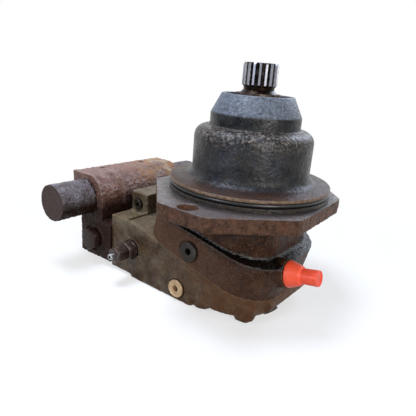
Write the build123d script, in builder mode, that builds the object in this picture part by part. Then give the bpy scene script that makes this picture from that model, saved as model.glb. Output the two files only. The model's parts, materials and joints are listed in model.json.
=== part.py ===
from build123d import *
import os
from math import cos, radians, sin, sqrt, tan

os.makedirs("parts", exist_ok=True)

# Clearances between pieces
seat_gap = 0.05  # radial gap of a ring or plug in its seat
running_gap = 0.08  # radial gap of a shaft, piston or spool in its bore
roller_gap = 0.12  # gap between a roller and its races
moving_gap = 0.4  # gap between pieces that pass each other
thread_gap = 0.1  # radial gap of a screw in its tapped hole
tap_extra = 2.0  # depth of a tapped hole past its screw
cut_over = 1.0  # how far a cutting shape reaches past the surface it cuts

# Pilot spigot and nose of the housing, heights from the flange's mounting face
pilot_radius = 95.0
pilot_land = 5.0
groove_width = 5.6
groove_depth = 5.4
lip_height = 3.4
lip_slope = 2.2
flare_radius = 11.0
nose_radius = 69.5
shoulder_rise = 2.0
nose_shoulder_radius = 12.0
collar_radius = 52.4
collar_length = 13.2
cone_length = 22.2
cone_top_radius = 41.3
cone_top_height = 110.4

# Two-hole mounting flange, an octagon
flange_half_length = 125.3
flange_half_width = 100.0
flange_corner = 69.0
flange_thickness = 17.5
flange_far_cut = (3.5, 5.0)
flange_back_chamfer = 6.0
flange_edge_radius = 4.0
bolt_spacing = 224.0
bolt_hole_radius = 11.0

# Inclined joint between the housing and the port plate
joint_tilt = 13.66
joint_rise = 16.6
joint_end_left = 113.0
joint_end_near = 79.0
joint_end_far = 66.0
joint_half_width = 80.0
joint_corner_radius = 54.0
band_thickness = 34.0
neck_inset = 11.0
neck_corner_radius = 44.0
neck_end_right = 62.0
neck_end_left = 103.0

# Space inside the housing for the rotating group
swivel_angle = 25.0
cavity_radius = 56.0
cavity_margin = 3.0
swing_radius = 54.0
front_shoulder = 6.0
rear_shoulder = 8.0
shoulder_relief = 2.0

# Tapered roller bearings; the shares are of the bearing's width and of the roller's radius
front_bore_radius = 22.5
front_outer_radius = 37.5
front_width = 20.0
front_roller_radius = 3.9
front_roller_length = 12.0
front_roller_count = 16
rear_bore_radius = 30.0
rear_outer_radius = 55.0
rear_width = 29.75
rear_roller_radius = 6.2
rear_roller_length = 18.0
rear_roller_count = 15
roller_axis_angle = 13.0
roller_half_angle = 2.0
cage_thickness = 1.6
cage_rim = 2.2
cage_pocket_gap = 0.3
roller_line_lift = 0.4
outer_ring_start = 0.2
inner_ring_end = 0.93
rib_share = 0.55
bearing_spacing = 16.25

# Drive shaft and its drive flange
spline_tip_radius = 19.8
spline_root_radius = 17.5
spline_teeth = 18
spline_tip_width = 2.3
spline_root_width = 4.3
spline_gap = 6.7
spline_length = 25.6
spline_chamfer = 1.8
spline_runout = 3.0
seal_land_radius = 21.0
seal_land_rise = 1.6
shaft_thread_radius = 22.0
shaft_waist_radius = 27.0
waist_relief = 3.0
shaft_shoulder_radius = 38.0
drive_flange_radius = 52.0
drive_flange_thickness = 20.0
shaft_shoulder_length = 4.0
collar_ring_radius = 25.0
collar_ring_height = 4.0
nut_radius = 30.0
nut_height = 6.0
nut_clearance = 0.9
nut_slots = 4
nut_slot_width = 6.0
nut_slot_depth = 3.5

# Shaft seal under its retaining ring
seal_height = 6.5
seal_ring_height = 1.6
seal_ring_width = 3.2
seal_ring_gap_angle = 24.0
seal_recess = 1.4
seal_lip_margin = 1.0

# Pistons and cylinder block
piston_count = 7
pitch_radius = 33.0
ball_radius = 9.6
piston_neck_radius = 6.2
piston_bore_radius = 11.5
piston_rest = 26.0
piston_ring_width = 2.2
piston_ring_depth = 1.4
piston_ring_pitch = 4.6
piston_band_length = 12.0
block_radius = 49.0
block_drop = 26.0
lens_thickness = 17.0
bore_floor_thickness = 10.0
bore_port_radius = 5.5
lens_sphere_radius = 250.0
plate_thickness = 6.0
plate_radius = 50.0
plate_screw_radius = 2.5
plate_screw_head_radius = 4.2
plate_screw_head_height = 3.2
plate_screw_depth = 10.0
centre_ball_radius = 9.0
centre_neck_radius = 5.8
centre_neck_length = 20.0
centre_pin_radius = 6.5
centre_pin_reach = 5.0
centre_collar_radius = 11.5
centre_collar_drop = 2.0
centre_collar_height = 4.0
centre_spring_bore_radius = 12.6
centre_guide_length = 18.0
centre_spring_seat = 14.0
centre_spring_wire = 2.6
centre_spring_turns = 5
centre_washer_height = 2.5
block_ring_height = 1.6
block_ring_depth = 1.4

# Control lens and the stroking piston that swings it
track_radius = 109.0
lens_radius = 44.0
kidney_width = 9.0
kidney_angle = 110.0
kidney_places = (90.0, 270.0)
pocket_half_width = 53.0
pocket_step = 8.0
slot_half_width = 5.0
slot_offset = 30.0
slot_depth = 7.0
slot_angle = 38.0
stroke_drop = 14.0
stroke_bore_radius = 10.0
stroke_bore_end = 42.0
stroke_piston_half_length = 34.0
stroke_plug_depth = 12.0
stroke_plug_key = 8.0
swivel_pin_radius = 5.0
swivel_pin_grip = 7.0
swivel_pin_reach = 6.0

# Port plate
plate_floor = 17.0
plate_end_chamfer = 17.0
skirt_start = -12.0
skirt_depth = 29.6
keel_half_width = 45.0
bolt_boss_radius = 12.0
bolt_boss_rise = 4.0
block_left = -157.0
block_right = -78.0
block_half_width = 79.0
block_rise = 30.4
block_foot = 3.0
hump_half_width = 47.0
hump_left = -156.0
hump_right = -124.0
hump_height = 28.0
hump_edge_radius = 4.0
joint_bolt_corner = 45.0
joint_bolt_side = 69.5
joint_bolt_side_left = -58.0
joint_bolt_side_right = 8.0
joint_bolt_radius = 5.0
joint_bolt_head_radius = 8.0
joint_bolt_head_height = 10.0
joint_bolt_seat = 22.0
joint_bolt_grip = 20.0
joint_seal_half_width = 60.0
joint_seal_left = 100.0
joint_seal_right = 60.5
joint_seal_corner = 50.0
joint_seal_wire = 1.5
screw_socket_share = 0.8
passage_radius = 7.5
passage_rise = 8.4
passage_end = -66.0

# Control spool behind the adjusting screw
control_x = -118.0
control_drop = 7.6
control_bore_radius = 6.0
control_spool_length = 52.0
control_spring_length = 22.0
control_spring_wire = 1.6
control_spring_turns = 5
control_waist_radius = 3.6
adjuster_tip = 36.0
adjuster_radius = 6.0
adjuster_depth = 24.0
adjuster_key = 6.0
lock_nut_key = 19.0
lock_nut_height = 11.0
lock_nut_washer_radius = 11.5
lock_nut_washer_height = 3.0
adjuster_spot_radius = 14.0
spot_depth = 1.5

# Screw plugs with a hexagon socket, each on a sealing ring in a spotface
plug_head_height = 2.6
plug_ring_height = 1.2
plug_spot_margin = 2.5
drain_plug_x = -21.0
drain_plug_rise = 22.4
drain_plug_head = 12.0
drain_plug_thread = 9.0
drain_plug_depth = 12.0
drain_plug_key = 8.0
gauge_plug_x = -37.0
gauge_plug_drop = 31.6
gauge_plug_head = 11.0
gauge_plug_thread = 8.0
gauge_plug_depth = 12.0
gauge_plug_key = 8.0
boss_plug_x = -141.0
boss_plug_rise = 11.5
boss_plug_head = 7.0
boss_plug_thread = 5.0
boss_plug_depth = 9.0
boss_plug_key = 5.0
end_plug_y = -30.0
end_plug_place = 0.6
end_plug_head = 9.0
end_plug_thread = 6.5
end_plug_depth = 9.0
end_plug_key = 6.0

# Counterbalance valve block
valve_axis_x = -209.0
valve_axis_rise = 13.0
valve_half_length = 82.0
valve_round_radius = 32.0
valve_flat = 31.5
valve_back = -238.0
valve_foot_left = -221.0
valve_foot_rise = 5.0
valve_edge_chamfer = 3.0
valve_waist_drop = 29.0
spool_radius = 15.0
spool_half_length = 58.0
spool_land = 14.0
spool_waist_radius = 9.5
cap_radius = 23.5
cap_length = 52.0
cap_wall = 7.5
cap_end_wall = 9.0
cap_thread_radius = 20.0
cap_thread_length = 8.0
cap_chamfer = 1.5
seat_height = 4.0
spool_spring_wire = 3.0
spool_spring_turns = 5
relief_x = -191.0
relief_drop = 27.0
relief_radius = 12.0
relief_depth = 24.0
relief_key = 28.0
relief_head_height = 9.0
relief_boss_radius = 21.0
relief_boss_height = 2.0
port_place = 40.0
port_radius = 12.5
port_depth = 12.0
port_drill_radius = 9.0
port_bolt_y = 57.2
port_bolt_z = 27.8
port_bolt_radius = 5.1
port_bolt_depth = 15.0
top_hole_radius = 4.2
top_hole_depth = 14.0
top_hole_x = -227.0
top_hole_y = 38.0
valve_bolt_y = 50.0
valve_bolt_drops = (13.0, 42.0)
valve_bolt_radius = 5.0
valve_bolt_head_radius = 8.0
valve_bolt_head_height = 10.0
valve_bolt_grip = 26.0
valve_seal_radius = 10.5
valve_seal_wire = 1.4

# Drain port boss and the shipping plug pushed into it
drain_x = 66.0
drain_y = -32.0
drain_rise = 12.4
drain_lift = 11.5
drain_boss_radius = 17.0
drain_boss_length = 17.5
drain_port_radius = 11.0
drain_port_depth = 42.0
cap_flange_radius = 15.0
cap_flange_height = 3.0
cap_cone_length = 13.0
cap_cone_radius = 8.0
cap_stub_length = 20.0
cap_stub_radius = 6.8
cap_insert_depth = 14.0

# Heights worked out from the sizes above, down from the nose to the port plate
cone_base_height = cone_top_height - cone_length
collar_base_height = cone_base_height - collar_length
nose_shoulder_height = collar_base_height - shoulder_rise
lip_base = pilot_land + groove_width
lip_top = lip_base + lip_height
seal_bore_radius = front_outer_radius
seal_top = cone_top_height - seal_recess - seal_ring_height
seal_base = seal_top - seal_height
seal_land_top = cone_top_height + seal_land_rise
spline_base = seal_land_top + spline_gap
spline_end = spline_base + spline_length
front_bearing_top = seal_base - nut_clearance - nut_height
front_bearing_base = front_bearing_top - front_width
rear_bearing_top = front_bearing_base - bearing_spacing
rear_bearing_base = rear_bearing_top - rear_width
shaft_waist_top = front_bearing_base - waist_relief
drive_flange_top = rear_bearing_base - shaft_shoulder_length
cavity_top = rear_bearing_base - cavity_margin
swivel_height = drive_flange_top - drive_flange_thickness
track_bottom = swivel_height - track_radius
joint_height = track_bottom + joint_rise
block_end = track_bottom + lens_thickness
block_top = swivel_height - block_drop
bore_floor = block_end + bore_floor_thickness
piston_end = block_end + piston_rest
centre_neck_end = swivel_height - centre_neck_length
centre_pin_end = block_end - centre_pin_reach
centre_spring_bore_top = block_top - centre_guide_length
centre_collar_top = centre_spring_bore_top - centre_collar_drop
centre_spring_end = block_end + centre_spring_seat
pocket_radius = track_radius - pocket_step
swivel_pin_top = track_bottom + swivel_pin_grip
stroke_axis_height = track_bottom - stroke_drop
swivel_pin_end = stroke_axis_height - swivel_pin_reach
plate_bottom = stroke_axis_height - plate_floor
block_bottom = plate_bottom + block_foot
block_top_height = joint_height + block_rise
passage_height = joint_height + passage_rise
control_z = joint_height - control_drop
drain_z = joint_height + drain_rise
skirt_bottom = joint_height - skirt_depth
valve_axis_z = block_top_height + valve_axis_rise
valve_top = valve_axis_z + valve_flat
valve_waist = valve_axis_z - valve_waist_drop
valve_foot_bottom = block_bottom + valve_foot_rise
relief_z = valve_waist - relief_drop
control_bore_length = adjuster_depth + control_spring_length + control_spool_length + moving_gap

# Planes and places worked out from them
tilt = radians(joint_tilt)
joint_x = (cos(tilt), 0, -sin(tilt))
joint_normal = (sin(tilt), 0, cos(tilt))
joint_plane = Plane(origin=(0, 0, joint_height), x_dir=joint_x, z_dir=joint_normal)
swivel_axis = Axis((0, 0, swivel_height), (0, 1, 0))
swivel_plane = Plane(origin=(0, 0, swivel_height), x_dir=(1, 0, 0), z_dir=(0, -1, 0))
front_face = Plane(origin=(0, -joint_half_width, 0), x_dir=(1, 0, 0), z_dir=(0, -1, 0))
bolt_corner_shift = joint_bolt_corner * cos(radians(45)) - joint_corner_radius
bolt_corner_y = joint_half_width + bolt_corner_shift
left_bolt_places = []
right_bolt_places = []
for side, end in ((-1, joint_end_near), (1, joint_end_far)):
    left_bolt_places.append((-joint_end_left - bolt_corner_shift, side * bolt_corner_y))
    left_bolt_places.append((joint_bolt_side_left, side * joint_bolt_side))
    right_bolt_places.append((joint_bolt_side_right, side * joint_bolt_side))
    right_bolt_places.append((end + bolt_corner_shift, side * bolt_corner_y))
joint_bolt_places = left_bolt_places + right_bolt_places
valve_bolt_places = [(side * valve_bolt_y, valve_waist - d) for d in valve_bolt_drops for side in (-1, 1)]
end_drop = joint_height - joint_end_near * sin(tilt) - plate_bottom
plate_end_x = joint_end_near * cos(tilt) - end_drop * tan(tilt)


def save(piece, name):
    piece.label = name
    export_step(piece, f"parts/{name}.step")


def face_at(plane, x, z):
    """A plane like the given one with its origin at a place given by X and Z."""
    return Plane(origin=(x, plane.origin.Y, z), x_dir=plane.x_dir, z_dir=plane.z_dir)


def joint_outline():
    """Outline of the joint between the housing and the port plate."""
    with BuildSketch() as outline:
        with BuildLine():
            Polyline(
                (-joint_end_left, -joint_half_width),
                (joint_end_near, -joint_half_width),
                (joint_end_far, joint_half_width),
                (-joint_end_left, joint_half_width),
                close=True,
            )
        make_face()
        fillet(outline.vertices(), joint_corner_radius)
    return outline.sketch


def plug_seat(face, head_radius, thread_radius, depth):
    """The space of a screw plug's spotface and tapped hole."""
    with BuildPart() as seat:
        with BuildSketch(face.offset(-spot_depth)):
            Circle(head_radius + plug_spot_margin)
        extrude(amount=2 * spot_depth)
        with BuildSketch(face):
            Circle(thread_radius + thread_gap)
        extrude(amount=-spot_depth - depth - tap_extra)
    return seat.part


def socket_plug(face, head_radius, thread_radius, depth, key):
    """A screw plug over its sealing ring in a spotface, and the ring."""
    floor = face.offset(-spot_depth)
    seat = floor.offset(plug_ring_height)
    with BuildPart() as plug:
        with BuildSketch(seat):
            Circle(head_radius)
        extrude(amount=plug_head_height)
        chamfer(plug.faces().sort_by(Axis(face.origin, face.z_dir))[-1].edges(), plug_head_height / 4)
        with BuildSketch(seat):
            Circle(thread_radius)
        extrude(amount=-depth)
        with BuildSketch(seat.offset(plug_head_height)):
            RegularPolygon(key / 2, 6, major_radius=False)
        extrude(amount=-key, mode=Mode.SUBTRACT)
    with BuildPart() as ring:
        with BuildSketch(floor):
            Circle(head_radius - plug_head_height / 4)
            Circle(thread_radius + thread_gap, mode=Mode.SUBTRACT)
        extrude(amount=plug_ring_height)
    return plug.part, ring.part


def end_plane(x, z, side):
    """Plane on one end of the valve block, looking outwards."""
    return Plane(origin=(x, side * valve_half_length, z), x_dir=(1, 0, 0), z_dir=(0, side, 0))


def cap_screw(plane, radius, length, head_radius, head_height):
    """A socket-head screw: the head stands on the plane and the shank goes down from it."""
    with BuildPart() as screw:
        with BuildSketch(plane):
            Circle(head_radius)
        extrude(amount=head_height)
        with BuildSketch(plane):
            Circle(radius)
        extrude(amount=-length)
        with BuildSketch(plane.offset(head_height)):
            RegularPolygon(radius * screw_socket_share, 6, major_radius=False)
        extrude(amount=-head_height / 2, mode=Mode.SUBTRACT)
    return screw.part


def rubber_ring(plane, radius, wire_radius):
    """A ring of round section lying in a plane."""
    with BuildPart() as ring:
        with BuildSketch(Plane(origin=plane.origin, x_dir=plane.x_dir, z_dir=-plane.y_dir)):
            with Locations((radius, 0)):
                Circle(wire_radius)
        revolve(axis=Axis(plane.origin, plane.z_dir))
    return ring.part


def coil(plane, radius, wire, length, turns):
    """A helical spring standing on a plane."""
    start = plane.offset(wire / 2)
    path = start * Helix((length - wire) / turns, length - wire, radius)
    with BuildPart() as spring:
        with BuildSketch(Plane(origin=path @ 0, z_dir=path % 0)):
            Circle(wire / 2)
        sweep(path=path)
    return spring.part


def roller_line(bore_radius, outer_radius, width):
    """Middle of the rollers along and across a bearing's axis."""
    return width / 2, (bore_radius + outer_radius) / 2 + roller_line_lift


def bearing(bore_radius, outer_radius, width, roller_radius, roller_length, count, base, flip):
    """Rings, rollers and cage of a tapered bearing; its inner ring's back face lies on the base."""
    middle, mean = roller_line(bore_radius, outer_radius, width)
    lean = radians(roller_axis_angle)
    outer_slope = tan(radians(roller_axis_angle + roller_half_angle))
    inner_slope = tan(radians(roller_axis_angle - roller_half_angle))
    reach = roller_radius + roller_gap
    outer_at = mean + reach / cos(lean) + (middle * outer_slope)
    inner_at = mean - reach / cos(lean) + (middle * inner_slope)
    half = roller_length / 2
    rib = middle - half * cos(lean) - roller_radius * sin(lean) - roller_gap * 2
    outer_start = width * outer_ring_start
    inner_end = width * inner_ring_end
    rib_height = roller_radius * rib_share

    def outer_race(along):
        return outer_at - along * outer_slope

    def inner_race(along):
        return inner_at - along * inner_slope

    turn = -1 if flip else 1
    place = Plane(origin=(0, 0, base), x_dir=(1, 0, 0), z_dir=(0, 0, turn))
    section = Plane(origin=(0, 0, base), x_dir=(1, 0, 0), z_dir=(0, -turn, 0))
    with BuildPart() as outer_ring:
        with BuildSketch(section):
            with BuildLine():
                Polyline(
                    (outer_radius, outer_start),
                    (outer_race(outer_start), outer_start),
                    (outer_race(width), width),
                    (outer_radius, width),
                    close=True,
                )
            make_face()
        revolve(axis=Axis.Z)
    with BuildPart() as inner_ring:
        with BuildSketch(section):
            with BuildLine():
                Polyline(
                    (bore_radius, 0),
                    (inner_race(rib) + rib_height, 0),
                    (inner_race(rib) + rib_height, rib),
                    (inner_race(rib), rib),
                    (inner_race(inner_end), inner_end),
                    (bore_radius, inner_end),
                    close=True,
                )
            make_face()
        revolve(axis=Axis.Z)
    roller_axis = Plane(
        origin=(mean, 0, middle), x_dir=(cos(lean), 0, sin(lean)), z_dir=(-sin(lean), 0, cos(lean))
    )
    axis_plane = Plane(place.location * roller_axis.location)
    spread = half * tan(radians(roller_half_angle))
    small = roller_radius - spread
    large = roller_radius + spread
    with BuildPart() as rollers:
        one = axis_plane * Cone(large, small, roller_length, mode=Mode.PRIVATE)
        with PolarLocations(0, count):
            add(one)
    cage_section = Plane(origin=axis_plane.origin, x_dir=axis_plane.x_dir, z_dir=-axis_plane.y_dir)
    with BuildPart() as cage:
        with BuildSketch(cage_section):
            Rectangle(cage_thickness, roller_length + 2 * cage_rim)
        revolve(axis=Axis.Z)
        pocket = axis_plane * Cone(
            large + cage_pocket_gap,
            small + cage_pocket_gap,
            roller_length + 2 * cage_pocket_gap,
            mode=Mode.PRIVATE,
        )
        with PolarLocations(0, count):
            add(pocket, mode=Mode.SUBTRACT)
    return outer_ring.part, inner_ring.part, rollers.part, cage.part


joint_shape = joint_outline()
drain_plug_face = face_at(front_face, drain_plug_x, joint_height + drain_plug_rise)
drain_plug_seat = plug_seat(drain_plug_face, drain_plug_head, drain_plug_thread, drain_plug_depth)

# Motor housing: turned nose and spigot, octagonal flange, neck and inclined joint flange
with BuildPart() as motor_housing:
    with BuildSketch(Plane.XZ):
        with BuildLine():
            Polyline(
                (0, -flange_thickness / 2),
                (pilot_radius, -flange_thickness / 2),
                (pilot_radius, pilot_land),
                (pilot_radius - groove_depth, pilot_land),
                (pilot_radius - groove_depth, lip_base),
                (pilot_radius, lip_base),
                (pilot_radius, lip_top),
                (nose_radius + flare_radius, lip_top + lip_slope),
            )
            RadiusArc(
                (nose_radius + flare_radius, lip_top + lip_slope),
                (nose_radius, lip_top + lip_slope + flare_radius),
                flare_radius,
            )
            Line(
                (nose_radius, lip_top + lip_slope + flare_radius),
                (nose_radius, nose_shoulder_height - nose_shoulder_radius),
            )
            RadiusArc(
                (nose_radius, nose_shoulder_height - nose_shoulder_radius),
                (nose_radius - nose_shoulder_radius, nose_shoulder_height),
                -nose_shoulder_radius,
            )
            Polyline(
                (nose_radius - nose_shoulder_radius, nose_shoulder_height),
                (collar_radius, collar_base_height),
                (collar_radius, cone_base_height),
                (cone_top_radius, cone_top_height),
                (0, cone_top_height),
                (0, -flange_thickness / 2),
            )
        make_face()
    revolve(axis=Axis.Z)
    # neck under the flange, then the thicker band at the joint
    with BuildSketch(Plane.XY.offset(-flange_thickness / 2)):
        with Locations(((neck_end_right - neck_end_left) / 2, 0)):
            RectangleRounded(
                neck_end_right + neck_end_left, 2 * (joint_half_width - neck_inset), neck_corner_radius
            )
    extrude(amount=joint_height - band_thickness * 2)
    split(bisect_by=joint_plane, keep=Keep.TOP)
    with BuildSketch(joint_plane):
        add(joint_shape)
    extrude(amount=band_thickness)
    # boss of the drain port on the far end of the band
    drain_plane = Plane(
        origin=(drain_x, drain_y, drain_z),
        x_dir=(0, 1, 0),
        z_dir=(cos(radians(drain_lift)), 0, sin(radians(drain_lift))),
    )
    with BuildSketch(drain_plane):
        Circle(drain_boss_radius)
    extrude(amount=drain_boss_length)
    # mounting flange
    with BuildSketch(Plane.XY.offset(-flange_thickness)):
        with BuildLine():
            end_half = flange_half_width - flange_corner
            side_half = flange_half_length - flange_corner
            Polyline(
                (flange_half_width - flange_far_cut[0], side_half - flange_far_cut[1]),
                (end_half, flange_half_length),
                (-end_half, flange_half_length),
                (-flange_half_width, side_half),
                (-flange_half_width, -side_half),
                (-end_half, -flange_half_length),
                (end_half, -flange_half_length),
                (flange_half_width, -side_half),
                close=True,
            )
        make_face()
        fillet(vertices(), flange_edge_radius)
    extrude(amount=flange_thickness)
    # lower edge of the flange cut back on the side away from the valve block
    with BuildSketch(Plane.XZ):
        with BuildLine():
            Polyline(
                (flange_half_width, flange_back_chamfer - flange_thickness),
                (flange_half_width + cut_over, flange_back_chamfer - flange_thickness),
                (flange_half_width + cut_over, -flange_thickness - cut_over),
                (flange_half_width - flange_back_chamfer - cut_over, -flange_thickness - cut_over),
                close=True,
            )
        make_face()
    extrude(amount=flange_half_length, both=True, mode=Mode.SUBTRACT)
    with Locations((0, bolt_spacing / 2, 0), (0, -bolt_spacing / 2, 0)):
        Cylinder(bolt_hole_radius, 2 * (flange_thickness + cut_over), mode=Mode.SUBTRACT)
    # bores for the shaft, bearings and seal, opening into the swing space
    with BuildSketch(Plane.XZ):
        with BuildLine():
            Polyline(
                (0, cone_top_height),
                (seal_bore_radius, cone_top_height),
                (seal_bore_radius, front_bearing_base),
                (front_outer_radius - front_shoulder, front_bearing_base),
                (front_outer_radius - front_shoulder, rear_bearing_top + shoulder_relief),
                (rear_outer_radius - rear_shoulder, rear_bearing_top + shoulder_relief),
                (rear_outer_radius - rear_shoulder, rear_bearing_top),
                (rear_outer_radius, rear_bearing_top),
                (rear_outer_radius, cavity_top),
                (cavity_radius, cavity_top),
                (cavity_radius, joint_height - band_thickness),
                (0, joint_height - band_thickness),
                close=True,
            )
        make_face()
    revolve(axis=Axis.Z, mode=Mode.SUBTRACT)
    swing_dir = (-sin(radians(swivel_angle)), 0, -cos(radians(swivel_angle)))
    with BuildSketch(Plane(origin=(0, 0, swivel_height), x_dir=(0, 1, 0), z_dir=swing_dir)):
        Circle(swing_radius)
    extrude(amount=2 * track_radius, mode=Mode.SUBTRACT)
    with BuildSketch(swivel_plane):
        with BuildLine():
            Polyline(
                (0, 0),
                (0, -2 * track_radius),
                (2 * track_radius * swing_dir[0], 2 * track_radius * swing_dir[2]),
                close=True,
            )
        make_face()
    extrude(amount=swing_radius, both=True, mode=Mode.SUBTRACT)
    # groove of the seal's retaining ring
    with BuildSketch(Plane.XZ):
        with Locations((seal_bore_radius, seal_top)):
            Rectangle(
                seal_ring_width, seal_ring_height + seat_gap, align=(Align.CENTER, Align.MIN)
            )
    revolve(axis=Axis.Z, mode=Mode.SUBTRACT)
    # tapped hole of the drain port and of the plug on the side of the band
    with BuildSketch(drain_plane.offset(drain_boss_length)):
        Circle(drain_port_radius)
    extrude(amount=-drain_port_depth, mode=Mode.SUBTRACT)
    add(drain_plug_seat, mode=Mode.SUBTRACT)
    # tapped holes of the joint bolts
    with BuildSketch(joint_plane):
        with Locations(*joint_bolt_places):
            Circle(joint_bolt_radius + thread_gap)
    extrude(amount=joint_bolt_grip + tap_extra, mode=Mode.SUBTRACT)
save(motor_housing.part, "motor_housing")

gauge_plug_face = face_at(front_face, gauge_plug_x, joint_height - gauge_plug_drop)
gauge_plug_seat = plug_seat(gauge_plug_face, gauge_plug_head, gauge_plug_thread, gauge_plug_depth)
hump_face = Plane(origin=(0, -hump_half_width, 0), x_dir=(1, 0, 0), z_dir=(0, -1, 0))
boss_plug_face = face_at(hump_face, boss_plug_x, block_top_height + boss_plug_rise)
boss_plug_seat = plug_seat(boss_plug_face, boss_plug_head, boss_plug_thread, boss_plug_depth)
slope_run = plate_end_chamfer * (1 + tan(tilt))
slope_start = plate_end_x - plate_end_chamfer
end_plug_face = Plane(
    origin=(
        slope_start + slope_run * end_plug_place,
        end_plug_y,
        plate_bottom + plate_end_chamfer * end_plug_place,
    ),
    x_dir=(0, 1, 0),
    z_dir=(plate_end_chamfer, 0, -slope_run),
)
end_plug_seat = plug_seat(end_plug_face, end_plug_head, end_plug_thread, end_plug_depth)

# Port plate: inclined top, control block and hump on one end, swivel track and passages inside
with BuildPart() as port_plate:
    with BuildSketch(joint_plane):
        add(joint_shape)
    extrude(amount=plate_bottom)
    split(bisect_by=Plane.XY.offset(plate_bottom), keep=Keep.TOP)
    block_ramp = (joint_height - block_top_height) / tan(tilt)
    with BuildSketch(Plane.XZ):
        with BuildLine():
            Polyline(
                (block_left, block_bottom),
                (block_right, block_bottom),
                (block_right, joint_height - block_right * tan(tilt)),
                (block_ramp, block_top_height),
                (block_left, block_top_height),
                close=True,
            )
        make_face()
    extrude(amount=block_half_width, both=True)
    hump_middle = (hump_left + hump_right) / 2
    with BuildSketch(Plane.XY.offset(block_top_height)):
        with Locations((hump_middle, 0)):
            RectangleRounded(hump_right - hump_left, 2 * hump_half_width, hump_edge_radius)
    extrude(amount=hump_height)
    # sloping end below the joint
    with BuildSketch(Plane.XZ):
        with BuildLine():
            Polyline(
                (plate_end_x - plate_end_chamfer, plate_bottom),
                (plate_end_x + plate_end_chamfer * tan(tilt), plate_bottom + plate_end_chamfer),
                (plate_end_x + 2 * plate_end_chamfer, plate_bottom + plate_end_chamfer),
                (plate_end_x + 2 * plate_end_chamfer, plate_bottom - plate_end_chamfer),
                (plate_end_x - plate_end_chamfer, plate_bottom - plate_end_chamfer),
                close=True,
            )
        make_face()
    extrude(amount=joint_half_width, both=True, mode=Mode.SUBTRACT)
    # shallow skirt beside the keel, with bosses for the bolts
    skirt_length = plate_end_x + 2 * plate_end_chamfer - skirt_start
    skirt_width = joint_half_width - keel_half_width
    with BuildSketch(Plane.XY.offset(skirt_bottom)):
        with Locations((skirt_start, keel_half_width), (skirt_start, -joint_half_width)):
            Rectangle(skirt_length, skirt_width, align=Align.MIN)
    extrude(amount=plate_bottom - skirt_bottom, mode=Mode.SUBTRACT)
    with BuildSketch(joint_plane.offset(-joint_bolt_head_height)):
        with Locations(*right_bolt_places):
            Circle(bolt_boss_radius)
    extrude(amount=plate_bottom - skirt_bottom - joint_bolt_seat + joint_bolt_head_height)
    with BuildSketch(Plane.XY.offset(plate_bottom + bolt_boss_rise)):
        with Locations((skirt_start, keel_half_width), (skirt_start, -joint_half_width)):
            Rectangle(skirt_length, skirt_width, align=Align.MIN)
    extrude(amount=plate_bottom - skirt_bottom, mode=Mode.SUBTRACT)
    # swivel track for the lens and room for the cylinder block above it
    with BuildSketch(swivel_plane):
        Circle(track_radius + seat_gap)
    extrude(amount=lens_radius + moving_gap, both=True, mode=Mode.SUBTRACT)
    with BuildSketch(swivel_plane):
        Circle(pocket_radius)
    extrude(amount=pocket_half_width, both=True, mode=Mode.SUBTRACT)
    # oil slots in the track and the passages that feed them from the valve block
    slot_section = Plane(origin=(0, 0, swivel_height), x_dir=(0, 1, 0), z_dir=(-1, 0, 0))
    with BuildSketch(slot_section):
        with Locations((slot_offset, track_radius), (-slot_offset, track_radius)):
            Rectangle(2 * slot_half_width, 2 * slot_depth)
    revolve(axis=swivel_axis, revolution_arc=slot_angle, mode=Mode.SUBTRACT)
    with BuildSketch(Plane.YZ.offset(block_left)):
        with Locations((slot_offset, passage_height), (-slot_offset, passage_height)):
            Circle(passage_radius)
    extrude(amount=passage_end - block_left, mode=Mode.SUBTRACT)
    # bore of the stroking piston and the slot for its pin
    with BuildSketch(Plane.YZ.offset(block_left)):
        with Locations((0, stroke_axis_height)):
            Circle(stroke_bore_radius)
    extrude(amount=stroke_bore_end - block_left, mode=Mode.SUBTRACT)
    pin_travel = track_radius * sin(radians(swivel_angle))
    with BuildSketch(Plane.XY.offset(stroke_axis_height)):
        with Locations((-pin_travel / 2, 0)):
            SlotCenterToCenter(pin_travel, 2 * (swivel_pin_radius + moving_gap))
    extrude(amount=-stroke_axis_height - track_radius / 2, mode=Mode.SUBTRACT)
    # control spool bore and the spotface of the adjusting screw
    adjuster_face = Plane(
        origin=(control_x, -block_half_width, control_z), x_dir=(1, 0, 0), z_dir=(0, -1, 0)
    )
    with BuildSketch(adjuster_face):
        Circle(adjuster_spot_radius)
    extrude(amount=-spot_depth, mode=Mode.SUBTRACT)
    with BuildSketch(adjuster_face):
        Circle(control_bore_radius)
    extrude(amount=-control_bore_length, mode=Mode.SUBTRACT)
    # joint bolts: through holes with counterbores from below
    with BuildSketch(joint_plane):
        with Locations(*joint_bolt_places):
            Circle(joint_bolt_radius + moving_gap)
    extrude(amount=-joint_bolt_seat, mode=Mode.SUBTRACT)
    with BuildSketch(joint_plane.offset(-joint_bolt_seat)):
        with Locations(*joint_bolt_places):
            Circle(joint_bolt_head_radius + moving_gap)
    extrude(amount=plate_bottom, mode=Mode.SUBTRACT)
    # groove of the joint seal
    seal_length = joint_seal_right + joint_seal_left
    seal_centre = (joint_seal_right - joint_seal_left) / 2
    with BuildSketch(joint_plane):
        with Locations((seal_centre, 0)):
            RectangleRounded(
                seal_length + 2 * joint_seal_wire + 2 * thread_gap,
                2 * (joint_seal_half_width + joint_seal_wire + thread_gap),
                joint_seal_corner + joint_seal_wire + thread_gap,
            )
            RectangleRounded(
                seal_length - 2 * joint_seal_wire - 2 * thread_gap,
                2 * (joint_seal_half_width - joint_seal_wire - thread_gap),
                joint_seal_corner - joint_seal_wire - thread_gap,
                mode=Mode.SUBTRACT,
            )
    extrude(amount=-2 * joint_seal_wire - seat_gap, mode=Mode.SUBTRACT)
    # seats of the screw plugs
    add(gauge_plug_seat, mode=Mode.SUBTRACT)
    add(boss_plug_seat, mode=Mode.SUBTRACT)
    add(end_plug_seat, mode=Mode.SUBTRACT)
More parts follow.
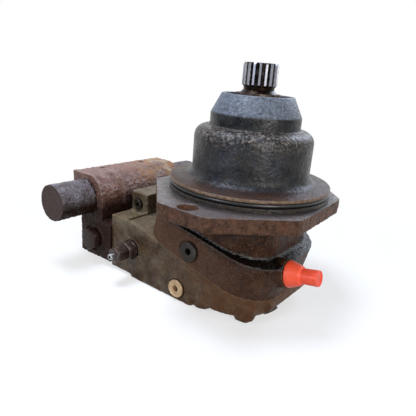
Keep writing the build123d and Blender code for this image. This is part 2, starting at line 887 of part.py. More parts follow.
    # tapped holes of the valve block's bolts
    with BuildSketch(Plane.YZ.offset(block_left)):
        with Locations(*valve_bolt_places):
            Circle(valve_bolt_radius + thread_gap)
    extrude(amount=valve_bolt_grip + tap_extra, mode=Mode.SUBTRACT)
save(port_plate.part, "port_plate")

# Counterbalance valve block: round spool barrel with a flat back and a foot on the port plate
with BuildPart() as valve_body:
    with BuildSketch(Plane.XZ):
        with Locations((valve_axis_x, valve_axis_z)):
            Circle(valve_round_radius)
        with BuildLine():
            Polyline(
                (valve_axis_x, valve_top),
                (valve_back, valve_top),
                (valve_back, valve_waist),
                (valve_foot_left, valve_waist),
                (valve_foot_left, valve_foot_bottom),
                (block_left, valve_foot_bottom),
                (block_left, valve_waist),
                (valve_axis_x + valve_round_radius, valve_waist),
                (valve_axis_x + valve_round_radius, valve_axis_z),
                (valve_axis_x, valve_axis_z),
                close=True,
            )
        make_face()
    extrude(amount=valve_half_length, both=True)
    split(bisect_by=Plane.YZ.offset(valve_back), keep=Keep.TOP)
    chamfer(valve_body.edges().filter_by(Axis.Y).group_by(Axis.Z)[0], valve_edge_chamfer)
    # spool bore with threaded mouths for the caps, relief bores and their raised bosses
    for side in (-1, 1):
        with BuildSketch(end_plane(relief_x, relief_z, side)):
            Circle(relief_boss_radius)
        extrude(amount=relief_boss_height)
        with BuildSketch(end_plane(valve_axis_x, valve_axis_z, side)):
            Circle(spool_radius + running_gap)
        extrude(amount=-valve_half_length, mode=Mode.SUBTRACT)
        with BuildSketch(end_plane(valve_axis_x, valve_axis_z, side)):
            Circle(cap_thread_radius + thread_gap)
        extrude(amount=-cap_thread_length, mode=Mode.SUBTRACT)
        with BuildSketch(end_plane(relief_x, relief_z, side).offset(relief_boss_height)):
            Circle(relief_radius + thread_gap)
        extrude(amount=-relief_boss_height - relief_depth - tap_extra, mode=Mode.SUBTRACT)
    # working ports with their flange bolts on the back
    back_face = Plane(origin=(valve_back, 0, valve_axis_z), x_dir=(0, -1, 0), z_dir=(-1, 0, 0))
    with BuildSketch(back_face):
        with Locations((port_place, 0), (-port_place, 0)):
            Circle(port_radius)
    extrude(amount=-port_depth, mode=Mode.SUBTRACT)
    with BuildSketch(back_face):
        with Locations((port_place, 0), (-port_place, 0)):
            Circle(port_drill_radius)
    extrude(amount=valve_back - valve_axis_x, mode=Mode.SUBTRACT)
    with BuildSketch(back_face):
        with Locations((port_place, 0), (-port_place, 0)):
            with GridLocations(port_bolt_y, port_bolt_z, 2, 2):
                Circle(port_bolt_radius)
    extrude(amount=-port_bolt_depth, mode=Mode.SUBTRACT)
    # passages from the spool to the port plate, ringed by seal grooves
    foot_face = Plane(origin=(block_left, 0, passage_height), x_dir=(0, 1, 0), z_dir=(1, 0, 0))
    with BuildSketch(foot_face):
        with Locations((slot_offset, 0), (-slot_offset, 0)):
            Circle(passage_radius)
    extrude(amount=valve_axis_x - block_left, mode=Mode.SUBTRACT)
    with BuildSketch(Plane.XY.offset(passage_height)):
        riser_x = valve_axis_x + passage_radius
        with Locations((riser_x, slot_offset), (riser_x, -slot_offset)):
            Circle(passage_radius)
    extrude(amount=valve_axis_z - passage_height, mode=Mode.SUBTRACT)
    with BuildSketch(foot_face):
        with Locations((slot_offset, 0), (-slot_offset, 0)):
            Circle(valve_seal_radius + valve_seal_wire + thread_gap)
            Circle(valve_seal_radius - valve_seal_wire - thread_gap, mode=Mode.SUBTRACT)
    extrude(amount=-2 * valve_seal_wire - seat_gap, mode=Mode.SUBTRACT)
    # bolts through the foot, heads sunk in its back
    foot_back = Plane.YZ.offset(valve_foot_left)
    with BuildSketch(foot_back):
        with Locations(*valve_bolt_places):
            Circle(valve_bolt_radius + moving_gap)
    extrude(amount=block_left - valve_foot_left, mode=Mode.SUBTRACT)
    with BuildSketch(foot_back):
        with Locations(*valve_bolt_places):
            Circle(valve_bolt_head_radius + moving_gap)
    extrude(amount=valve_bolt_head_height, mode=Mode.SUBTRACT)
    # tapped holes in the flat top
    with BuildSketch(Plane.XY.offset(valve_top)):
        with Locations((top_hole_x, top_hole_y), (top_hole_x, -top_hole_y)):
            Circle(top_hole_radius)
    extrude(amount=-top_hole_depth, mode=Mode.SUBTRACT)
save(valve_body.part, "valve_body")

# Spool, with a spring seat, spring and screw-in cap at each end
spring_start = spool_half_length + seat_height
cap_bore_radius = cap_radius - cap_wall
cap_floor = valve_half_length + cap_length - cap_end_wall
spool_plane = Plane(origin=(valve_axis_x, 0, valve_axis_z), x_dir=(1, 0, 0), z_dir=(0, 0, 1))
valve_axis = Axis((valve_axis_x, 0, valve_axis_z), (0, 1, 0))
with BuildPart() as valve_spool:
    with BuildSketch(spool_plane):
        Rectangle(spool_waist_radius, 2 * spool_half_length, align=(Align.MIN, Align.CENTER))
        land_places = (spool_land / 2 - spool_half_length, 0, spool_half_length - spool_land / 2)
        with Locations(*[(0, y) for y in land_places]):
            Rectangle(spool_radius, spool_land, align=(Align.MIN, Align.CENTER))
    revolve(axis=valve_axis)
save(valve_spool.part, "valve_spool")

for side, end in ((-1, "front"), (1, "rear")):
    axial = Plane(origin=(valve_axis_x, 0, valve_axis_z), x_dir=(1, 0, 0), z_dir=(0, side, 0))
    with BuildPart() as spool_cap:
        with BuildSketch(axial.offset(valve_half_length)):
            Circle(cap_radius)
        extrude(amount=cap_length)
        chamfer(spool_cap.faces().sort_by(Axis(axial.origin, axial.z_dir))[-1].edges(), cap_chamfer)
        with BuildSketch(axial.offset(valve_half_length)):
            Circle(cap_thread_radius)
        extrude(amount=-cap_thread_length)
        with BuildSketch(axial.offset(cap_floor)):
            Circle(cap_bore_radius)
        extrude(amount=-cap_floor, mode=Mode.SUBTRACT)
    save(spool_cap.part, f"spool_cap_{end}")
    with BuildPart() as spring_seat:
        with BuildSketch(axial.offset(spool_half_length)):
            Circle(spool_radius - moving_gap)
        extrude(amount=seat_height)
        with BuildSketch(axial.offset(spring_start)):
            Circle(spool_waist_radius - spool_spring_wire / 2)
        extrude(amount=2 * seat_height)
    save(spring_seat.part, f"spring_seat_{end}")
    spring_radius = spool_waist_radius + spool_spring_wire / 2
    spool_spring = coil(
        axial.offset(spring_start),
        spring_radius,
        spool_spring_wire,
        cap_floor - spring_start,
        spool_spring_turns,
    )
    save(spool_spring, f"spool_spring_{end}")
    relief_face = end_plane(relief_x, relief_z, side).offset(relief_boss_height)
    with BuildPart() as relief_cartridge:
        with BuildSketch(relief_face):
            RegularPolygon(relief_key / 2, 6, major_radius=False)
        extrude(amount=relief_head_height)
        with BuildSketch(relief_face):
            Circle(relief_radius)
        extrude(amount=-relief_boss_height - relief_depth)
    save(relief_cartridge.part, f"relief_cartridge_{end}")

valve_bolt_length = block_left - valve_foot_left - valve_bolt_head_height + valve_bolt_grip
valve_head_x = valve_foot_left + valve_bolt_head_height
valve_bolts = Compound(
    children=[
        cap_screw(
            Plane(origin=(valve_head_x, y, z), x_dir=(0, 1, 0), z_dir=(-1, 0, 0)),
            valve_bolt_radius,
            valve_bolt_length,
            valve_bolt_head_radius,
            valve_bolt_head_height,
        )
        for y, z in valve_bolt_places
    ]
)
save(valve_bolts, "valve_body_bolts")
bolt_seat = joint_plane.offset(-joint_bolt_seat)
port_plate_bolts = Compound(
    children=[
        cap_screw(
            Plane(
                origin=bolt_seat.from_local_coords((x, y, 0)), x_dir=(0, 1, 0), z_dir=-joint_plane.z_dir
            ),
            joint_bolt_radius,
            joint_bolt_seat + joint_bolt_grip,
            joint_bolt_head_radius,
            joint_bolt_head_height,
        )
        for x, y in joint_bolt_places
    ]
)
save(port_plate_bolts, "port_plate_bolts")

# Rubber rings
pilot_ring_wire = groove_depth / 2 - seat_gap
pilot_ring = rubber_ring(
    Plane.XY.offset(pilot_land + groove_width / 2), pilot_radius - groove_depth / 2, pilot_ring_wire
)
save(pilot_ring, "pilot_o_ring")
seal_x = block_left - valve_seal_wire - seat_gap / 2
valve_seals = Compound(
    children=[
        rubber_ring(
            Plane(origin=(seal_x, y, passage_height), x_dir=(0, 1, 0), z_dir=(1, 0, 0)),
            valve_seal_radius,
            valve_seal_wire,
        )
        for y in (-slot_offset, slot_offset)
    ]
)
save(valve_seals, "valve_seal_rings")
joint_seal_plane = joint_plane.offset(-joint_seal_wire - seat_gap / 2)
seal_outline = RectangleRounded(seal_length, 2 * joint_seal_half_width, joint_seal_corner)
seal_path = (joint_seal_plane * Pos(seal_centre, 0) * seal_outline).wire()
with BuildPart() as joint_o_ring:
    with BuildSketch(Plane(origin=seal_path @ 0, z_dir=seal_path % 0)):
        Circle(joint_seal_wire)
    sweep(path=seal_path)
save(joint_o_ring.part, "joint_o_ring")

# Screw plugs and their sealing rings
plug_rings = []
for name, face, head, thread, depth, key in (
    ("drain_plug", drain_plug_face, drain_plug_head, drain_plug_thread, drain_plug_depth, drain_plug_key),
    ("gauge_plug", gauge_plug_face, gauge_plug_head, gauge_plug_thread, gauge_plug_depth, gauge_plug_key),
    ("boss_plug", boss_plug_face, boss_plug_head, boss_plug_thread, boss_plug_depth, boss_plug_key),
    ("end_plug", end_plug_face, end_plug_head, end_plug_thread, end_plug_depth, end_plug_key),
):
    plug, ring = socket_plug(face, head, thread, depth, key)
    save(plug, name)
    plug_rings.append(ring)
save(Compound(children=plug_rings), "plug_seal_rings")

# Adjusting screw with its lock nut, and the spring and control spool behind it
with BuildPart() as adjusting_screw:
    with BuildSketch(adjuster_face):
        Circle(adjuster_radius - running_gap)
    extrude(amount=adjuster_tip)
    chamfer(adjusting_screw.faces().sort_by(Axis.Y)[0].edges(), adjuster_radius / 5)
    with BuildSketch(adjuster_face):
        Circle(adjuster_radius - running_gap)
    extrude(amount=-adjuster_depth)
    with BuildSketch(adjuster_face.offset(adjuster_tip)):
        RegularPolygon(adjuster_key / 2, 6, major_radius=False)
    extrude(amount=-adjuster_key, mode=Mode.SUBTRACT)
save(adjusting_screw.part, "adjusting_screw")
nut_face = adjuster_face.offset(-spot_depth)
with BuildPart() as adjusting_lock_nut:
    with BuildSketch(nut_face):
        Circle(lock_nut_washer_radius)
    extrude(amount=lock_nut_washer_height)
    with BuildSketch(nut_face.offset(lock_nut_washer_height)):
        RegularPolygon(lock_nut_key / 2, 6, major_radius=False)
    extrude(amount=lock_nut_height)
    with BuildSketch(nut_face):
        Circle(adjuster_radius)
    extrude(amount=lock_nut_washer_height + lock_nut_height, mode=Mode.SUBTRACT)
save(adjusting_lock_nut.part, "adjusting_lock_nut")
spring_face = adjuster_face.offset(-adjuster_depth - control_spring_length)
control_spring = coil(
    spring_face,
    control_bore_radius - control_spring_wire,
    control_spring_wire,
    control_spring_length,
    control_spring_turns,
)
save(control_spring, "control_spring")
with BuildPart() as control_spool:
    with BuildSketch(spring_face):
        Circle(control_bore_radius - running_gap)
    extrude(amount=-control_spool_length)
    with BuildSketch(spring_face.offset(-control_spool_length / 4)):
        Circle(control_bore_radius)
        Circle(control_waist_radius, mode=Mode.SUBTRACT)
    extrude(amount=-control_spool_length / 2, mode=Mode.SUBTRACT)
save(control_spool.part, "control_spool")

# Shipping plug pushed into the drain port
plug_base = drain_plane.offset(drain_boss_length)
with BuildPart() as shipping_plug:
    with BuildSketch(Plane(origin=plug_base.origin, x_dir=plug_base.x_dir, z_dir=-plug_base.y_dir)):
        with BuildLine():
            Polyline(
                (0, -cap_insert_depth),
                (drain_port_radius - moving_gap, -cap_insert_depth),
                (drain_port_radius - moving_gap, moving_gap),
                (cap_flange_radius, moving_gap),
                (cap_flange_radius, cap_flange_height),
                (cap_cone_radius, cap_flange_height + cap_cone_length),
                (cap_stub_radius, cap_flange_height + cap_cone_length),
                (cap_stub_radius, cap_flange_height + cap_cone_length + cap_stub_length),
                (0, cap_flange_height + cap_cone_length + cap_stub_length),
                close=True,
            )
        make_face()
    revolve(axis=Axis(plug_base.origin, plug_base.z_dir))
save(shipping_plug.part, "shipping_plug")

# Tapered roller bearings
front_parts = bearing(
    front_bore_radius,
    front_outer_radius,
    front_width,
    front_roller_radius,
    front_roller_length,
    front_roller_count,
    front_bearing_top,
    True,
)
rear_parts = bearing(
    rear_bore_radius,
    rear_outer_radius,
    rear_width,
    rear_roller_radius,
    rear_roller_length,
    rear_roller_count,
    rear_bearing_base,
    False,
)
for end, parts in (("front", front_parts), ("rear", rear_parts)):
    for piece, name in zip(parts, ("outer_ring", "inner_ring", "rollers", "cage")):
        save(piece, f"{end}_bearing_{name}")

# Drive shaft: spline, seal land, bearing seats and the drive flange with its ball sockets
with BuildPart() as drive_shaft:
    with BuildSketch(Plane.XZ):
        with BuildLine():
            Polyline(
                (0, swivel_height),
                (drive_flange_radius, swivel_height),
                (drive_flange_radius, drive_flange_top),
                (shaft_shoulder_radius, drive_flange_top),
                (shaft_shoulder_radius, rear_bearing_base),
                (rear_bore_radius - seat_gap, rear_bearing_base),
                (rear_bore_radius - seat_gap, rear_bearing_top),
                (shaft_waist_radius, rear_bearing_top),
                (shaft_waist_radius, shaft_waist_top),
                (front_bore_radius - seat_gap, shaft_waist_top),
                (front_bore_radius - seat_gap, front_bearing_top),
                (shaft_thread_radius, front_bearing_top),
                (shaft_thread_radius, front_bearing_top + nut_height),
                (seal_land_radius, front_bearing_top + nut_height),
                (seal_land_radius, seal_land_top),
                (spline_root_radius, seal_land_top + seal_land_radius - spline_root_radius),
                (spline_root_radius, spline_end),
                (0, spline_end),
                close=True,
            )
        make_face()
    revolve(axis=Axis.Z)
    # spline teeth with a chamfered end and a sloping run-out
    with BuildSketch(Plane.XY.offset(spline_base)):
        with PolarLocations(0, spline_teeth):
            Polygon(
                (spline_root_radius - cut_over, -spline_root_width / 2),
                (spline_root_radius, -spline_root_width / 2),
                (spline_tip_radius, -spline_tip_width / 2),
                (spline_tip_radius, spline_tip_width / 2),
                (spline_root_radius, spline_root_width / 2),
                (spline_root_radius - cut_over, spline_root_width / 2),
                align=None,
            )
    extrude(amount=spline_end - spline_base)
    with BuildSketch(Plane.XZ):
        with BuildLine():
            Polyline(
                (spline_tip_radius - spline_chamfer, spline_end),
                (spline_tip_radius + cut_over, spline_end),
                (spline_tip_radius + cut_over, spline_end - spline_chamfer - cut_over),
                close=True,
            )
        make_face()
        with BuildLine():
            Polyline(
                (spline_root_radius, spline_base),
                (spline_tip_radius + cut_over, spline_base),
                (spline_tip_radius + cut_over, spline_base + spline_runout),
                close=True,
            )
        make_face()
    revolve(axis=Axis.Z, mode=Mode.SUBTRACT)
    with PolarLocations(pitch_radius, piston_count):
        with Locations((0, 0, swivel_height)):
            Sphere(ball_radius + running_gap, mode=Mode.SUBTRACT)
    with Locations((0, 0, swivel_height)):
        Sphere(centre_ball_radius + running_gap, mode=Mode.SUBTRACT)
    screw_angle = 180 / piston_count
    screw_circle = (plate_radius + pitch_radius) / 2
    with BuildSketch(Plane.XY.offset(swivel_height)):
        with PolarLocations(screw_circle, piston_count, start_angle=screw_angle):
            Circle(plate_screw_radius + thread_gap)
    extrude(amount=plate_screw_depth + tap_extra, mode=Mode.SUBTRACT)
save(drive_shaft.part, "drive_shaft")

with BuildPart() as shaft_nut:
    with BuildSketch(Plane.XY.offset(front_bearing_top)):
        Circle(nut_radius)
        Circle(shaft_thread_radius + thread_gap, mode=Mode.SUBTRACT)
        with PolarLocations(nut_radius, nut_slots):
            Rectangle(2 * nut_slot_depth, nut_slot_width, mode=Mode.SUBTRACT)
    extrude(amount=nut_height)
save(shaft_nut.part, "shaft_nut")

with BuildPart() as shaft_collar:
    with BuildSketch(Plane.XY.offset(seal_land_top - collar_ring_height)):
        Circle(collar_ring_radius)
        Circle(seal_land_radius + seat_gap, mode=Mode.SUBTRACT)
    extrude(amount=collar_ring_height)
save(shaft_collar.part, "shaft_collar")

# Shaft seal in the nose and the split ring that holds it
with BuildPart() as shaft_seal:
    with BuildSketch(Plane.XZ):
        with BuildLine():
            Polyline(
                (seal_bore_radius - seat_gap, seal_base),
                (seal_bore_radius - seat_gap, seal_top),
                (collar_ring_radius + seal_lip_margin, seal_top),
                (seal_land_radius + running_gap, seal_top - seal_height / 2),
                (collar_ring_radius + seal_lip_margin, seal_base + seal_height / 4),
                (nut_radius + seal_lip_margin, seal_base + seal_height / 4),
                (nut_radius + seal_lip_margin, seal_base),
                close=True,
            )
        make_face()
    revolve(axis=Axis.Z)
save(shaft_seal.part, "shaft_seal")
with BuildPart() as seal_retaining_ring:
    with BuildSketch(Plane.XY.offset(seal_top)):
        Circle(seal_bore_radius + seal_ring_width / 2 - seat_gap)
        Circle(seal_bore_radius - seal_ring_width, mode=Mode.SUBTRACT)
        with BuildLine():
            gap_half = radians(seal_ring_gap_angle / 2)
            far = 2 * seal_bore_radius
            Polyline(
                (0, 0),
                (far * cos(gap_half), far * sin(gap_half)),
                (far * cos(gap_half), -far * sin(gap_half)),
                close=True,
            )
        make_face(mode=Mode.SUBTRACT)
    extrude(amount=seal_ring_height)
save(seal_retaining_ring.part, "seal_retaining_ring")

# Pistons with ball ends, their rings and the plate that holds the balls
neck_height = swivel_height - sqrt(ball_radius**2 - piston_neck_radius**2)
band_top = piston_end + piston_band_length
band_radius = piston_bore_radius - running_gap
with BuildPart() as piston:
    with BuildSketch(Plane.XZ):
        with BuildLine():
            ball_arc = ThreePointArc(
                (0, swivel_height + ball_radius),
                (ball_radius, swivel_height),
                (piston_neck_radius, neck_height),
            )
            Polyline(
                ball_arc @ 1,
                (piston_neck_radius, neck_height - piston_neck_radius),
                (band_radius - piston_ring_depth, band_top),
                (band_radius, band_top),
                (band_radius, piston_end),
                (0, piston_end),
                ball_arc @ 0,
            )
        make_face()
        ring_places = [band_top - piston_ring_pitch * i for i in (1 / 2, 3 / 2)]
        with Locations(*[(band_radius, z) for z in ring_places]):
            Rectangle(2 * piston_ring_depth, piston_ring_width, mode=Mode.SUBTRACT)
    revolve(axis=Axis.Z)
with BuildPart() as piston_ring:
    with BuildSketch(Plane.XZ):
        with Locations(*[(band_radius, z) for z in ring_places]):
            Rectangle(
                piston_ring_depth - seat_gap,
                piston_ring_width - 2 * seat_gap,
                align=(Align.MAX, Align.CENTER),
            )
    revolve(axis=Axis.Z)
ring_solids = []
for i in range(piston_count):
    turn = radians(360 * i / piston_count)
    place = Pos(pitch_radius * cos(turn), pitch_radius * sin(turn), 0)
    save(place * piston.part, f"piston_{i + 1}")
    ring_solids.append(place * piston_ring.part)
save(Compound(children=ring_solids), "piston_rings")

with BuildPart() as retaining_plate:
    with BuildSketch(Plane.XY.offset(swivel_height)):
        Circle(plate_radius)
    extrude(amount=-plate_thickness)
    with PolarLocations(pitch_radius, piston_count):
        with Locations((0, 0, swivel_height)):
            Sphere(ball_radius + running_gap, mode=Mode.SUBTRACT)
    with Locations((0, 0, swivel_height)):
        Sphere(centre_ball_radius + running_gap, mode=Mode.SUBTRACT)
    with BuildSketch(Plane.XY.offset(swivel_height)):
        with PolarLocations(screw_circle, piston_count, start_angle=screw_angle):
            Circle(plate_screw_radius + thread_gap)
    extrude(amount=-plate_thickness, mode=Mode.SUBTRACT)
    with BuildSketch(Plane.XY.offset(swivel_height - plate_thickness)):
        with PolarLocations(screw_circle, piston_count, start_angle=screw_angle):
            Circle(plate_screw_head_radius + moving_gap)
    extrude(amount=plate_screw_head_height, mode=Mode.SUBTRACT)
save(retaining_plate.part, "retaining_plate")
screw_seat = swivel_height - plate_thickness + plate_screw_head_height
plate_screws = Compound(
    children=[
        cap_screw(
            Plane(
                origin=(
                    screw_circle * cos(radians(screw_angle * (2 * i + 1))),
                    screw_circle * sin(radians(screw_angle * (2 * i + 1))),
                    screw_seat,
                ),
                x_dir=(1, 0, 0),
                z_dir=(0, 0, -1),
            ),
            plate_screw_radius,
            swivel_height - screw_seat + plate_screw_depth,
            plate_screw_head_radius,
            plate_screw_head_height,
        )
        for i in range(piston_count)
    ]
)
save(plate_screws, "retaining_plate_screws")

# Centre pin with the spring that presses the cylinder block onto the lens
centre_neck_height = swivel_height - sqrt(centre_ball_radius**2 - centre_neck_radius**2)
with BuildPart() as centre_pin:
    with BuildSketch(Plane.XZ):
        with BuildLine():
            ball_arc = ThreePointArc(
                (0, swivel_height + centre_ball_radius),
                (centre_ball_radius, swivel_height),
                (centre_neck_radius, centre_neck_height),
            )
            Polyline(
                ball_arc @ 1,
                (centre_neck_radius, centre_neck_end),
                (centre_pin_radius, centre_neck_end),
                (centre_pin_radius, centre_collar_top),
                (centre_collar_radius, centre_collar_top),
                (centre_collar_radius, centre_collar_top - centre_collar_height),
                (centre_pin_radius, centre_collar_top - centre_collar_height),
                (centre_pin_radius, centre_pin_end),
                (0, centre_pin_end),
                ball_arc @ 0,
            )
        make_face()
    revolve(axis=Axis.Z)
save(centre_pin.part, "centre_pin")
centre_spring_top = centre_collar_top - centre_collar_height
centre_spring = coil(
    Plane.XY.offset(centre_spring_end),
    centre_pin_radius + centre_spring_wire,
    centre_spring_wire,
    centre_spring_top - centre_spring_end,
    centre_spring_turns,
)
save(centre_spring, "centre_pin_spring")
with BuildPart() as centre_spring_washer:
    with BuildSketch(Plane.XY.offset(centre_spring_end)):
        Circle(centre_spring_bore_radius - seat_gap)
        Circle(centre_pin_radius + moving_gap, mode=Mode.SUBTRACT)
    extrude(amount=-centre_washer_height)
save(centre_spring_washer.part, "centre_spring_washer")
block_ring_top = centre_spring_end - centre_washer_height
with BuildPart() as block_retaining_ring:
    with BuildSketch(Plane.XY.offset(block_ring_top)):
        Circle(centre_spring_bore_radius + block_ring_depth - seat_gap)
        Circle(centre_spring_bore_radius - 2 * block_ring_depth, mode=Mode.SUBTRACT)
    extrude(amount=-block_ring_height)
save(block_retaining_ring.part, "block_retaining_ring")

# Cylinder block with its piston bores and hollow end on the lens
lens_sphere_height = block_end - lens_sphere_radius
with BuildPart() as cylinder_block:
    rim_drop = lens_sphere_radius - sqrt(lens_sphere_radius**2 - block_radius**2)
    with BuildSketch(Plane.XY.offset(block_top)):
        Circle(block_radius)
        with PolarLocations(pitch_radius, piston_count):
            Circle(bore_port_radius, mode=Mode.SUBTRACT)
        Circle(centre_pin_radius + running_gap, mode=Mode.SUBTRACT)
    extrude(amount=block_end - block_top - rim_drop)
    with BuildSketch(Plane.XY.offset(block_top)):
        with PolarLocations(pitch_radius, piston_count):
            Circle(piston_bore_radius)
    extrude(amount=bore_floor - block_top, mode=Mode.SUBTRACT)
    with BuildSketch(Plane.XY.offset(centre_spring_bore_top)):
        Circle(centre_spring_bore_radius)
    extrude(amount=block_end - centre_spring_bore_top - rim_drop, mode=Mode.SUBTRACT)
    with BuildSketch(Plane.XY.offset(block_ring_top)):
        Circle(centre_spring_bore_radius + block_ring_depth)
    extrude(amount=-block_ring_height - seat_gap, mode=Mode.SUBTRACT)
    with Locations((0, 0, lens_sphere_height)):
        Sphere(lens_sphere_radius, mode=Mode.SUBTRACT)
save(cylinder_block.part, "cylinder_block")

# Control lens: domed top under the block, round back in the track
kidney_lines = [
    CenterArc((0, 0), pitch_radius, middle - kidney_angle / 2, kidney_angle) for middle in kidney_places
]
with BuildPart() as control_lens:
    with BuildSketch(Plane.XY.offset(swivel_height - track_radius)):
        Circle(lens_radius)
        for line in kidney_lines:
            SlotArc(line, kidney_width, mode=Mode.SUBTRACT)
    extrude(amount=track_radius / 2)
    with BuildSketch(swivel_plane):
        Circle(track_radius)
    extrude(amount=2 * lens_radius, both=True, mode=Mode.INTERSECT)
    with Locations((0, 0, lens_sphere_height)):
        Sphere(lens_sphere_radius - moving_gap, mode=Mode.INTERSECT)
    with BuildSketch(Plane.XY.offset(centre_pin_end - moving_gap)):
        Circle(centre_pin_radius + moving_gap)
    extrude(amount=track_radius / 2, mode=Mode.SUBTRACT)
    with BuildSketch(Plane.XY.offset(swivel_pin_top)):
        Circle(swivel_pin_radius + seat_gap)
    extrude(amount=-track_radius / 2, mode=Mode.SUBTRACT)
save(control_lens.part, "control_lens")

# Stroking piston, its pin and the plug that closes its bore
stroke_plane = Plane(origin=(0, 0, stroke_axis_height), x_dir=(0, 1, 0), z_dir=(1, 0, 0))
with BuildPart() as stroking_piston:
    with BuildSketch(stroke_plane):
        Circle(stroke_bore_radius - running_gap)
    extrude(amount=stroke_piston_half_length, both=True)
    with BuildSketch(Plane.XY.offset(swivel_pin_end)):
        Circle(swivel_pin_radius + seat_gap)
    extrude(amount=2 * stroke_bore_radius, mode=Mode.SUBTRACT)
save(stroking_piston.part, "stroking_piston")
with BuildPart() as swivel_pin:
    with BuildSketch(Plane.XY.offset(swivel_pin_end)):
        Circle(swivel_pin_radius)
    extrude(amount=swivel_pin_top - swivel_pin_end)
save(swivel_pin.part, "swivel_pin")
stroke_mouth = stroke_plane.offset(block_left)
with BuildPart() as stroke_bore_plug:
    with BuildSketch(stroke_mouth):
        Circle(stroke_bore_radius - thread_gap)
        RegularPolygon(stroke_plug_key / 2, 6, major_radius=False, mode=Mode.SUBTRACT)
    extrude(amount=stroke_plug_depth / 2)
    with BuildSketch(stroke_mouth.offset(stroke_plug_depth / 2)):
        Circle(stroke_bore_radius - thread_gap)
    extrude(amount=stroke_plug_depth / 2)
save(stroke_bore_plug.part, "stroke_bore_plug")
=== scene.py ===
import bmesh
import bpy
import json
from math import cos, pi, radians, sin, sqrt
from mathutils import Matrix, Vector


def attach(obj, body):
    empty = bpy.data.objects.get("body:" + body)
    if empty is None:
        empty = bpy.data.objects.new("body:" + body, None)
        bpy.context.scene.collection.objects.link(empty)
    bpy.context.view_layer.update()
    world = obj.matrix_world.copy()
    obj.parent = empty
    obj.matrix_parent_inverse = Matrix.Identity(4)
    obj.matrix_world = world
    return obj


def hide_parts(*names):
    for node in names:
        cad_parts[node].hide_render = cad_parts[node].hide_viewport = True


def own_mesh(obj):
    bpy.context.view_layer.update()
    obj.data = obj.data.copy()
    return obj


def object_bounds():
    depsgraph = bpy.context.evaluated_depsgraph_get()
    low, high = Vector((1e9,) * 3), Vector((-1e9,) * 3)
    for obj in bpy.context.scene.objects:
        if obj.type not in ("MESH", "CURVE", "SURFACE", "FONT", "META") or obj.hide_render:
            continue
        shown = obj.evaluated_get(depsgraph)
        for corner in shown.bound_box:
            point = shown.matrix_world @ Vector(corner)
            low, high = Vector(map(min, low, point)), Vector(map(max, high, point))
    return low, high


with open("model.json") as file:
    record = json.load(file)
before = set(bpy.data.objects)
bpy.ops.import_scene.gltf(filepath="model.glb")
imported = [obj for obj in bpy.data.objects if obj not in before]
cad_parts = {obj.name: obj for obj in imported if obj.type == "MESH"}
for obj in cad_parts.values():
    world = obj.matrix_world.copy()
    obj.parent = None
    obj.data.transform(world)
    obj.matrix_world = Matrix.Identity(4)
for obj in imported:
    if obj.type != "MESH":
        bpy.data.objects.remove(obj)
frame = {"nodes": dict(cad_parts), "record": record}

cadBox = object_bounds()
mm = 0.001
scene = bpy.context.scene


# shapes are in millimetres until toObject

def axisPlace(origin, direction):  # turns local Z to the direction and moves there
    turn = Vector(direction).to_track_quat("Z", "Y").to_matrix().to_4x4()
    return Matrix.Translation(origin) @ turn


def roundedPrism(bm, corners, low, high, place=Matrix(), rounding=0, steps=10):  # rounding may be a list
    sizes = rounding if isinstance(rounding, list) else [rounding] * len(corners)
    verts = [bm.verts.new((x, y, low)) for x, y in corners]
    face = bm.faces.new(verts)
    grown = bmesh.ops.extrude_face_region(bm, geom=[face])["geom"]
    top = {v for v in grown if isinstance(v, bmesh.types.BMVert)}
    bmesh.ops.translate(bm, vec=(0, 0, high - low), verts=list(top))
    shape = set(verts) | top
    uprights = [next(e for e in v.link_edges if e.other_vert(v) in top) for v in verts]
    for size in sorted({r for r in sizes if r}):
        chosen = [e for e, r in zip(uprights, sizes) if r == size]
        made = bmesh.ops.bevel(bm, geom=chosen, offset=size, segments=steps, profile=0.5,
                               affect="EDGES", material=-1)
        shape = {v for v in shape if v.is_valid} | set(made["verts"])
    bmesh.ops.recalc_face_normals(bm, faces=list({f for v in shape for f in v.link_faces}))
    bmesh.ops.transform(bm, matrix=place, verts=list(shape))


def sliced(bm, point, normal):  # keeps what lies behind the plane and closes the cut
    cut = bmesh.ops.bisect_plane(bm, geom=bm.verts[:] + bm.edges[:] + bm.faces[:], plane_co=point,
                                 plane_no=normal, clear_outer=True)["geom_cut"]
    bmesh.ops.contextual_create(bm, geom=[e for e in cut if isinstance(e, bmesh.types.BMEdge)])
    bmesh.ops.recalc_face_normals(bm, faces=bm.faces)


def joinInto(bm, other):  # adds another shape and uses it up
    mesh = bpy.data.meshes.new("joined")
    other.to_mesh(mesh)
    other.free()
    bm.from_mesh(mesh)
    bpy.data.meshes.remove(mesh)


def drum(bm, radius, low, high, place=Matrix(), segments=72, top=None):
    lift = Matrix.Translation((0, 0, (low + high) / 2))
    bmesh.ops.create_cone(bm, cap_ends=True, segments=segments, radius1=radius,
                          radius2=radius if top is None else top, depth=high - low, matrix=place @ lift)


def turned(bm, corners, place=Matrix(), steps=96):  # corners are radius, height and rounding
    verts = [bm.verts.new((r, 0, z)) for r, z, _ in corners]
    bm.faces.new(verts)
    for size in sorted({c[2] for c in corners if c[2]}):
        chosen = [v for v, c in zip(verts, corners) if c[2] == size]
        rings = 8 if size > 2 else 3  # large rounds need more of them
        bmesh.ops.bevel(bm, geom=chosen, offset=size, segments=rings, profile=0.5,
                        affect="VERTICES", material=-1)
    bmesh.ops.delete(bm, geom=bm.faces[:], context="FACES_ONLY")
    bmesh.ops.spin(bm, geom=bm.verts[:] + bm.edges[:], cent=(0, 0, 0), axis=(0, 0, 1), angle=2 * pi,
                   steps=steps, use_merge=True)
    bmesh.ops.remove_doubles(bm, verts=bm.verts, dist=1e-4)
    bmesh.ops.recalc_face_normals(bm, faces=bm.faces)
    bmesh.ops.transform(bm, matrix=place, verts=bm.verts)


def newShape(build, *args, **kwargs):  # one closed shape by itself, to cut with or to join
    bm = bmesh.new()
    build(bm, *args, **kwargs)
    return bm


